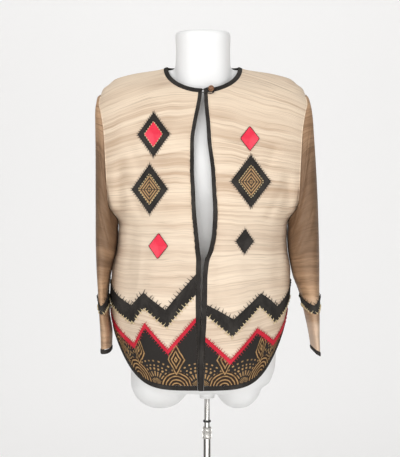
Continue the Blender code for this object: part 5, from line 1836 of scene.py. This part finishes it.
def thigh_rows(middle_x, half_width, half_depth):
    rows = []
    for angle in np.linspace(0.05, math.pi / 2, 26):
        share = math.sin(angle)
        z = THIGH_BOTTOM_Z + THIGH_ROUNDING * (1 - math.cos(angle))
        rows.append((z, half_width * share, half_depth * share, half_depth * share, middle_x, 0))
    rows.append((THIGH_TOP_Z, half_width, half_depth, half_depth, middle_x, 0))
    return rows


def lofted(name, rows, sides=96):
    """A closed shell through level rings."""
    points = np.stack([section_ring(row, sides) for row in rows], axis=1)
    ends = [np.broadcast_to(points[:-1, k].mean(axis=0), (sides + 1, 1, 3)) for k in (0, -1)]
    points = np.concatenate([ends[0], points, ends[1]], axis=1)
    piece = grid_piece(name, points, np.zeros((*points.shape[:2], 2)))
    close_up(piece)
    return piece


class JACKET_OT_form(Operator):
    """Moulds the dress form: torso, flat-topped neck and two rounded thigh ends as one smooth shell"""

    bl_idname = "jacket.form"
    bl_label = "Dress form"

    def execute(self, context):
        pieces = [lofted("form_body", torso_rows()), lofted("form_neck", neck_rows())]
        pieces += [lofted("form_thigh", thigh_rows(*sizes)) for sizes in THIGHS]
        deselect()
        for part in pieces:
            part.select_set(True)
        context.view_layer.objects.active = pieces[0]
        bpy.ops.object.join()
        piece = named("form_body")
        remesh = piece.modifiers.new("one skin", "REMESH")
        remesh.mode = "VOXEL"
        remesh.voxel_size = context.scene.stand_settings.form_voxel
        relax = piece.modifiers.new("relaxed", "SMOOTH")
        relax.factor = 0.5
        relax.iterations = 6
        apply_modifiers(piece)
        bpy.ops.object.shade_smooth()
        settle(piece, material("form_plastic"), ["dress_form"], "form")
        return {"FINISHED"}


def turned(name, profile, segments=96):
    """A turned piece: a circle extruded and resized from one radius and height to the next."""
    deselect()
    closed = profile[0] == profile[-1]
    radius, height = profile[0]
    bpy.ops.mesh.primitive_circle_add(vertices=segments, radius=radius, location=(0, 0, 0),
                                      fill_type="NOTHING" if closed else "NGON")
    piece = named(name)
    bpy.ops.object.mode_set(mode="EDIT")
    bpy.ops.mesh.select_mode(type="VERT")
    bpy.ops.mesh.select_all(action="SELECT")
    bpy.ops.transform.translate(value=(0, 0, height))
    for (last_radius, last_height), (next_radius, next_height) in zip(profile, profile[1:]):
        bpy.ops.mesh.extrude_region_move(
            TRANSFORM_OT_translate={"value": (0, 0, next_height - last_height)})
        size = next_radius / last_radius
        bpy.ops.transform.resize(value=(size, size, 1), center_override=(0, 0, next_height))
    bpy.ops.mesh.select_all(action="SELECT")
    bpy.ops.mesh.remove_doubles(threshold=1e-6)
    bpy.ops.mesh.normals_make_consistent(inside=False)
    bpy.ops.object.mode_set(mode="OBJECT")
    return piece


def eased_edges(piece, width, degrees=35):
    """Rounds a hard piece's sharp edges and shades it."""
    bevel = piece.modifiers.new("eased edges", "BEVEL")
    bevel.width = width
    bevel.segments = 2
    bevel.limit_method = "ANGLE"
    bevel.angle_limit = math.radians(degrees)
    apply_modifiers(piece)
    shade_by_angle(piece, 40)


def node_size(node):
    """The radius and the lowest and highest point of a turned CAD node."""
    low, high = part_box(node)
    return (high[0] - low[0]) / 2, low[2], high[2]


class JACKET_OT_stand(Operator):
    """Turns the socket, the sliding rod with its ring, the tube with its lock collar and the base"""

    bl_idname = "jacket.stand"
    bl_label = "Stand"

    def execute(self, context):
        steel = material("polished_steel")
        radius, low, high = node_size("pole_socket")
        piece = turned("rod_socket", [(radius - 0.002, high), (radius, high - 0.002), (radius, low + 0.006),
                                      (radius - 0.0015, low + 0.005), (radius - 0.0015, low + 0.0035),
                                      (radius, low + 0.0025), (radius - 0.002, low)])
        eased_edges(piece, 0.0004)
        settle(piece, material("form_plastic"), ["pole_socket"], "form")
        rod, low, high = node_size("pole_rod")
        piece = turned("sliding_rod", [(rod - 0.0008, high), (rod, high - 0.0008), (rod, low + 0.0008),
                                       (rod - 0.0008, low)])
        eased_edges(piece, 0.0002)
        settle(piece, steel, ["pole_rod"], "pole")
        radius, low, high = node_size("stop_ring")
        bore = rod + SEAM
        piece = turned("rubber_ring", [(bore, high), (radius - 0.0012, high), (radius - 0.0003, high - 0.0008),
                                       (radius, (low + high) / 2), (radius - 0.0003, low + 0.0008),
                                       (radius - 0.0012, low), (bore, low), (bore, high)])
        eased_edges(piece, 0.0002, 50)
        settle(piece, material("black_rubber"), ["stop_ring"], "pole")
        self.tube_and_collar(steel)
        self.base(steel)
        return {"FINISHED"}

    def tube_and_collar(self, steel):
        tube, low, high = node_size("pole_tube")
        bore = node_size("pole_rod")[0] + 0.0003
        piece = turned("outer_tube", [(bore, high), (tube - 0.0005, high), (tube, high - 0.0005),
                                      (tube, low + 0.0005), (tube - 0.0005, low), (bore, low), (bore, high)])
        eased_edges(piece, 0.00015)
        settle(piece, steel, ["pole_tube"], "stand")
        radius, low, high = node_size("lock_collar")
        bore = tube + SEAM
        third = (high - low) / 3
        piece = turned("twist_collar", [(bore, high), (radius - 0.0016, high), (radius - 0.0004, high - 0.0016),
                                        (radius - 0.0004, high - third), (radius, high - third - 0.0006),
                                        (radius, low + 0.0026), (radius - 0.0014, low + 0.0006),
                                        (radius - 0.0016, low), (bore, low), (bore, high)], 72)
        for polygon in piece.data.polygons:
            middle = polygon.center
            outward = math.hypot(middle.x, middle.y) > radius * 0.985
            tall = low + 0.003 < middle.z < high - third - 0.0006
            turn = int((math.degrees(math.atan2(middle.y, middle.x)) % 360) / 5)
            polygon.select = outward and tall and turn % 3 == 0
        bpy.ops.object.mode_set(mode="EDIT")
        bpy.ops.mesh.select_mode(type="FACE")
        bpy.ops.mesh.inset(thickness=0.00012, depth=-0.00055, use_individual=True)
        bpy.ops.object.mode_set(mode="OBJECT")
        eased_edges(piece, 0.0001, 60)
        settle(piece, material("brushed_steel"), ["lock_collar"], "stand")

    def base(self, steel):
        tube = node_size("pole_tube")[0] + SEAM
        radius, low, high = node_size("base_hub")
        wide = tube + 0.008
        piece = turned("base_collar", [(tube, high), (tube + 0.004, high), (tube + 0.0055, high - 0.001),
                                       (tube + 0.006, high - 0.003), (wide - 0.0005, low + 0.018),
                                       (wide + 0.001, low + 0.012), (wide + 0.005, low + 0.0065),
                                       (radius - 0.002, low + 0.0042), (radius, low + 0.003), (radius, low),
                                       (tube, low), (tube, high)])
        eased_edges(piece, 0.0003)
        settle(piece, steel, ["base_hub"], "stand")
        radius, low, high = node_size("base_plate")
        piece = turned("base_disc", [(0.060, high), (0.140, high), (0.1408, high - 0.0005),
                                     (0.1432, high - 0.0005), (0.144, high), (radius - 0.0026, high),
                                     (radius - 0.0012, high - 0.0006), (radius - 0.0003, high - 0.0018),
                                     (radius, high - 0.0032), (radius, low + 0.0020), (radius - 0.0020, low)], 160)
        eased_edges(piece, 0.0002)
        settle(piece, steel, ["base_plate"], "stand")


class JACKET_OT_studio(Operator):
    """Sets up the pale floor, the curved backdrop, soft lights and the camera"""

    bl_idname = "jacket.studio"
    bl_label = "Studio"

    def execute(self, context):
        settings = context.scene.studio_settings
        deselect()
        bpy.ops.mesh.primitive_plane_add(size=14, location=(0, 0, 0))
        sweep = named("studio_sweep")
        for vertex in sweep.data.vertices:
            vertex.select = vertex.co.y > 0
            if vertex.co.y > 0:
                vertex.co.y = 5.2
            else:
                vertex.co.y = -7.0
        for edge in sweep.data.edges:
            edge.select = all(sweep.data.vertices[k].co.y > 0 for k in edge.vertices)
        for polygon in sweep.data.polygons:
            polygon.select = False
        bpy.ops.object.mode_set(mode="EDIT")
        bpy.ops.mesh.select_mode(type="EDGE")
        bpy.ops.mesh.extrude_region_move(TRANSFORM_OT_translate={"value": (0, 0, 6.5)})
        bpy.ops.object.mode_set(mode="OBJECT")
        bend = sweep.modifiers.new("sweep", "BEVEL")
        bend.width = 2.2
        bend.segments = 24
        bend.limit_method = "ANGLE"
        apply_modifiers(sweep)
        bpy.ops.object.shade_smooth()
        finish = Finish("studio_paper")
        grain = finish.noise(finish.place(), (30, 30, 30), 3.0)
        finish.set(Base_Color=finish.mix(grain * 0.1, (0.93, 0.925, 0.92, 1), (0.86, 0.855, 0.85, 1)),
                   Roughness=0.9)
        sweep.data.materials.append(finish.material)
        self.flags()
        self.lights(context, settings)
        self.camera(context, settings)
        return {"FINISHED"}

    def flags(self):
        """Dark cards at both sides, out of view, that the polished steel mirrors at its edges."""
        look = Finish("studio_flag")
        look.set(Base_Color=(0.02, 0.02, 0.02, 1), Roughness=0.9)
        for number, side in enumerate((-1, 1)):
            bpy.ops.mesh.primitive_plane_add(size=1, location=(0, 0, 0))
            flag = named(f"studio_flag_{number}")
            bpy.ops.object.mode_set(mode="EDIT")
            bpy.ops.mesh.select_all(action="SELECT")
            bpy.ops.transform.resize(value=(2.4, 1.5, 1), center_override=(0, 0, 0))
            bpy.ops.transform.rotate(value=math.radians(90), orient_axis="Y", center_override=(0, 0, 0))
            bpy.ops.transform.translate(value=(side * 1.9, 0.1, 1.2))
            bpy.ops.object.mode_set(mode="OBJECT")
            flag.data.materials.append(look.material)
            flag.visible_camera = False

    def lights(self, context, settings):
        lamps = (
            # name, place, aimed at, width, height, power
            ("key", (-1.7, -2.6, 2.3), (0, 0, 1.05), 1.8, 1.8, settings.key_power),
            ("fill", (2.1, -2.2, 1.5), (0, 0, 0.95), 1.8, 1.8, settings.fill_power),
            ("low", (0.1, -2.9, 0.35), (0, 0, 0.80), 2.2, 0.6, settings.fill_power),
            ("top", (0.0, 0.4, 3.2), (0, 0, 1.0), 2.4, 1.6, settings.fill_power * 0.15),
            ("backdrop", (0.0, 2.2, 3.6), (0, 5.0, 1.0), 5.0, 1.0, settings.backdrop_power),
        )
        for name, place, aim, width, height, power in lamps:
            bpy.ops.object.light_add(type="AREA", location=place)
            lamp = named(name)
            lamp.rotation_euler = (Vector(aim) - Vector(place)).to_track_quat("-Z", "Y").to_euler()
            lamp.data.shape = "RECTANGLE"
            lamp.data.size = width
            lamp.data.size_y = height
            lamp.data.energy = power
        world = context.scene.world or bpy.data.worlds.new("room")
        context.scene.world = world
        world.use_nodes = True
        background = world.node_tree.nodes["Background"]
        background.inputs["Color"].default_value = (1.0, 0.995, 0.99, 1)
        background.inputs["Strength"].default_value = settings.sky
        context.scene.view_settings.view_transform = "Standard"

    def camera(self, context, settings):
        bpy.ops.object.camera_add(location=(-0.0154, -settings.distance, settings.height),
                                  rotation=(math.radians(90), 0, 0))
        camera = named("camera")
        camera.data.lens = settings.lens
        camera.data.sensor_width = 36
        camera.data.clip_end = 60
        context.scene.camera = camera


class JACKET_PT_pieces(Panel):
    """Lists the jacket's pieces and settings in the sidebar"""

    bl_idname = "JACKET_PT_pieces"
    bl_label = "Open-front jacket"
    bl_space_type = "VIEW_3D"
    bl_region_type = "UI"
    bl_category = "Jacket"

    def draw(self, context):
        layout = self.layout
        for operator in OPERATORS:
            layout.operator(operator.bl_idname)
        for group in SETTINGS:
            box = layout.box()
            for key in SETTINGS[group].__annotations__:
                box.prop(getattr(context.scene, group), key)


OPERATORS = (
    JACKET_OT_form,
    JACKET_OT_fronts,
    JACKET_OT_back,
    JACKET_OT_sleeves,
    JACKET_OT_bindings,
    JACKET_OT_borders,
    JACKET_OT_lozenges,
    JACKET_OT_stitching,
    JACKET_OT_button,
    JACKET_OT_stand,
    JACKET_OT_studio,
)
SETTINGS = {
    "jacket_sizes": JacketSizes,
    "jacket_colours": JacketColours,
    "stand_settings": StandSettings,
    "studio_settings": StudioSettings,
}


def register():
    for group, kind in SETTINGS.items():
        bpy.utils.register_class(kind)
        setattr(bpy.types.Scene, group, PointerProperty(type=kind))
    for kind in (*OPERATORS, JACKET_PT_pieces):
        bpy.utils.register_class(kind)


def unregister():
    for kind in (JACKET_PT_pieces, *reversed(OPERATORS)):
        bpy.utils.unregister_class(kind)
    for group, kind in SETTINGS.items():
        delattr(bpy.types.Scene, group)
        bpy.utils.unregister_class(kind)


def main():
    register()
    deselect()
    for operator in OPERATORS:
        family, name = operator.bl_idname.split(".")
        getattr(getattr(bpy.ops, family), name)()


if __name__ == "__main__":
    main()
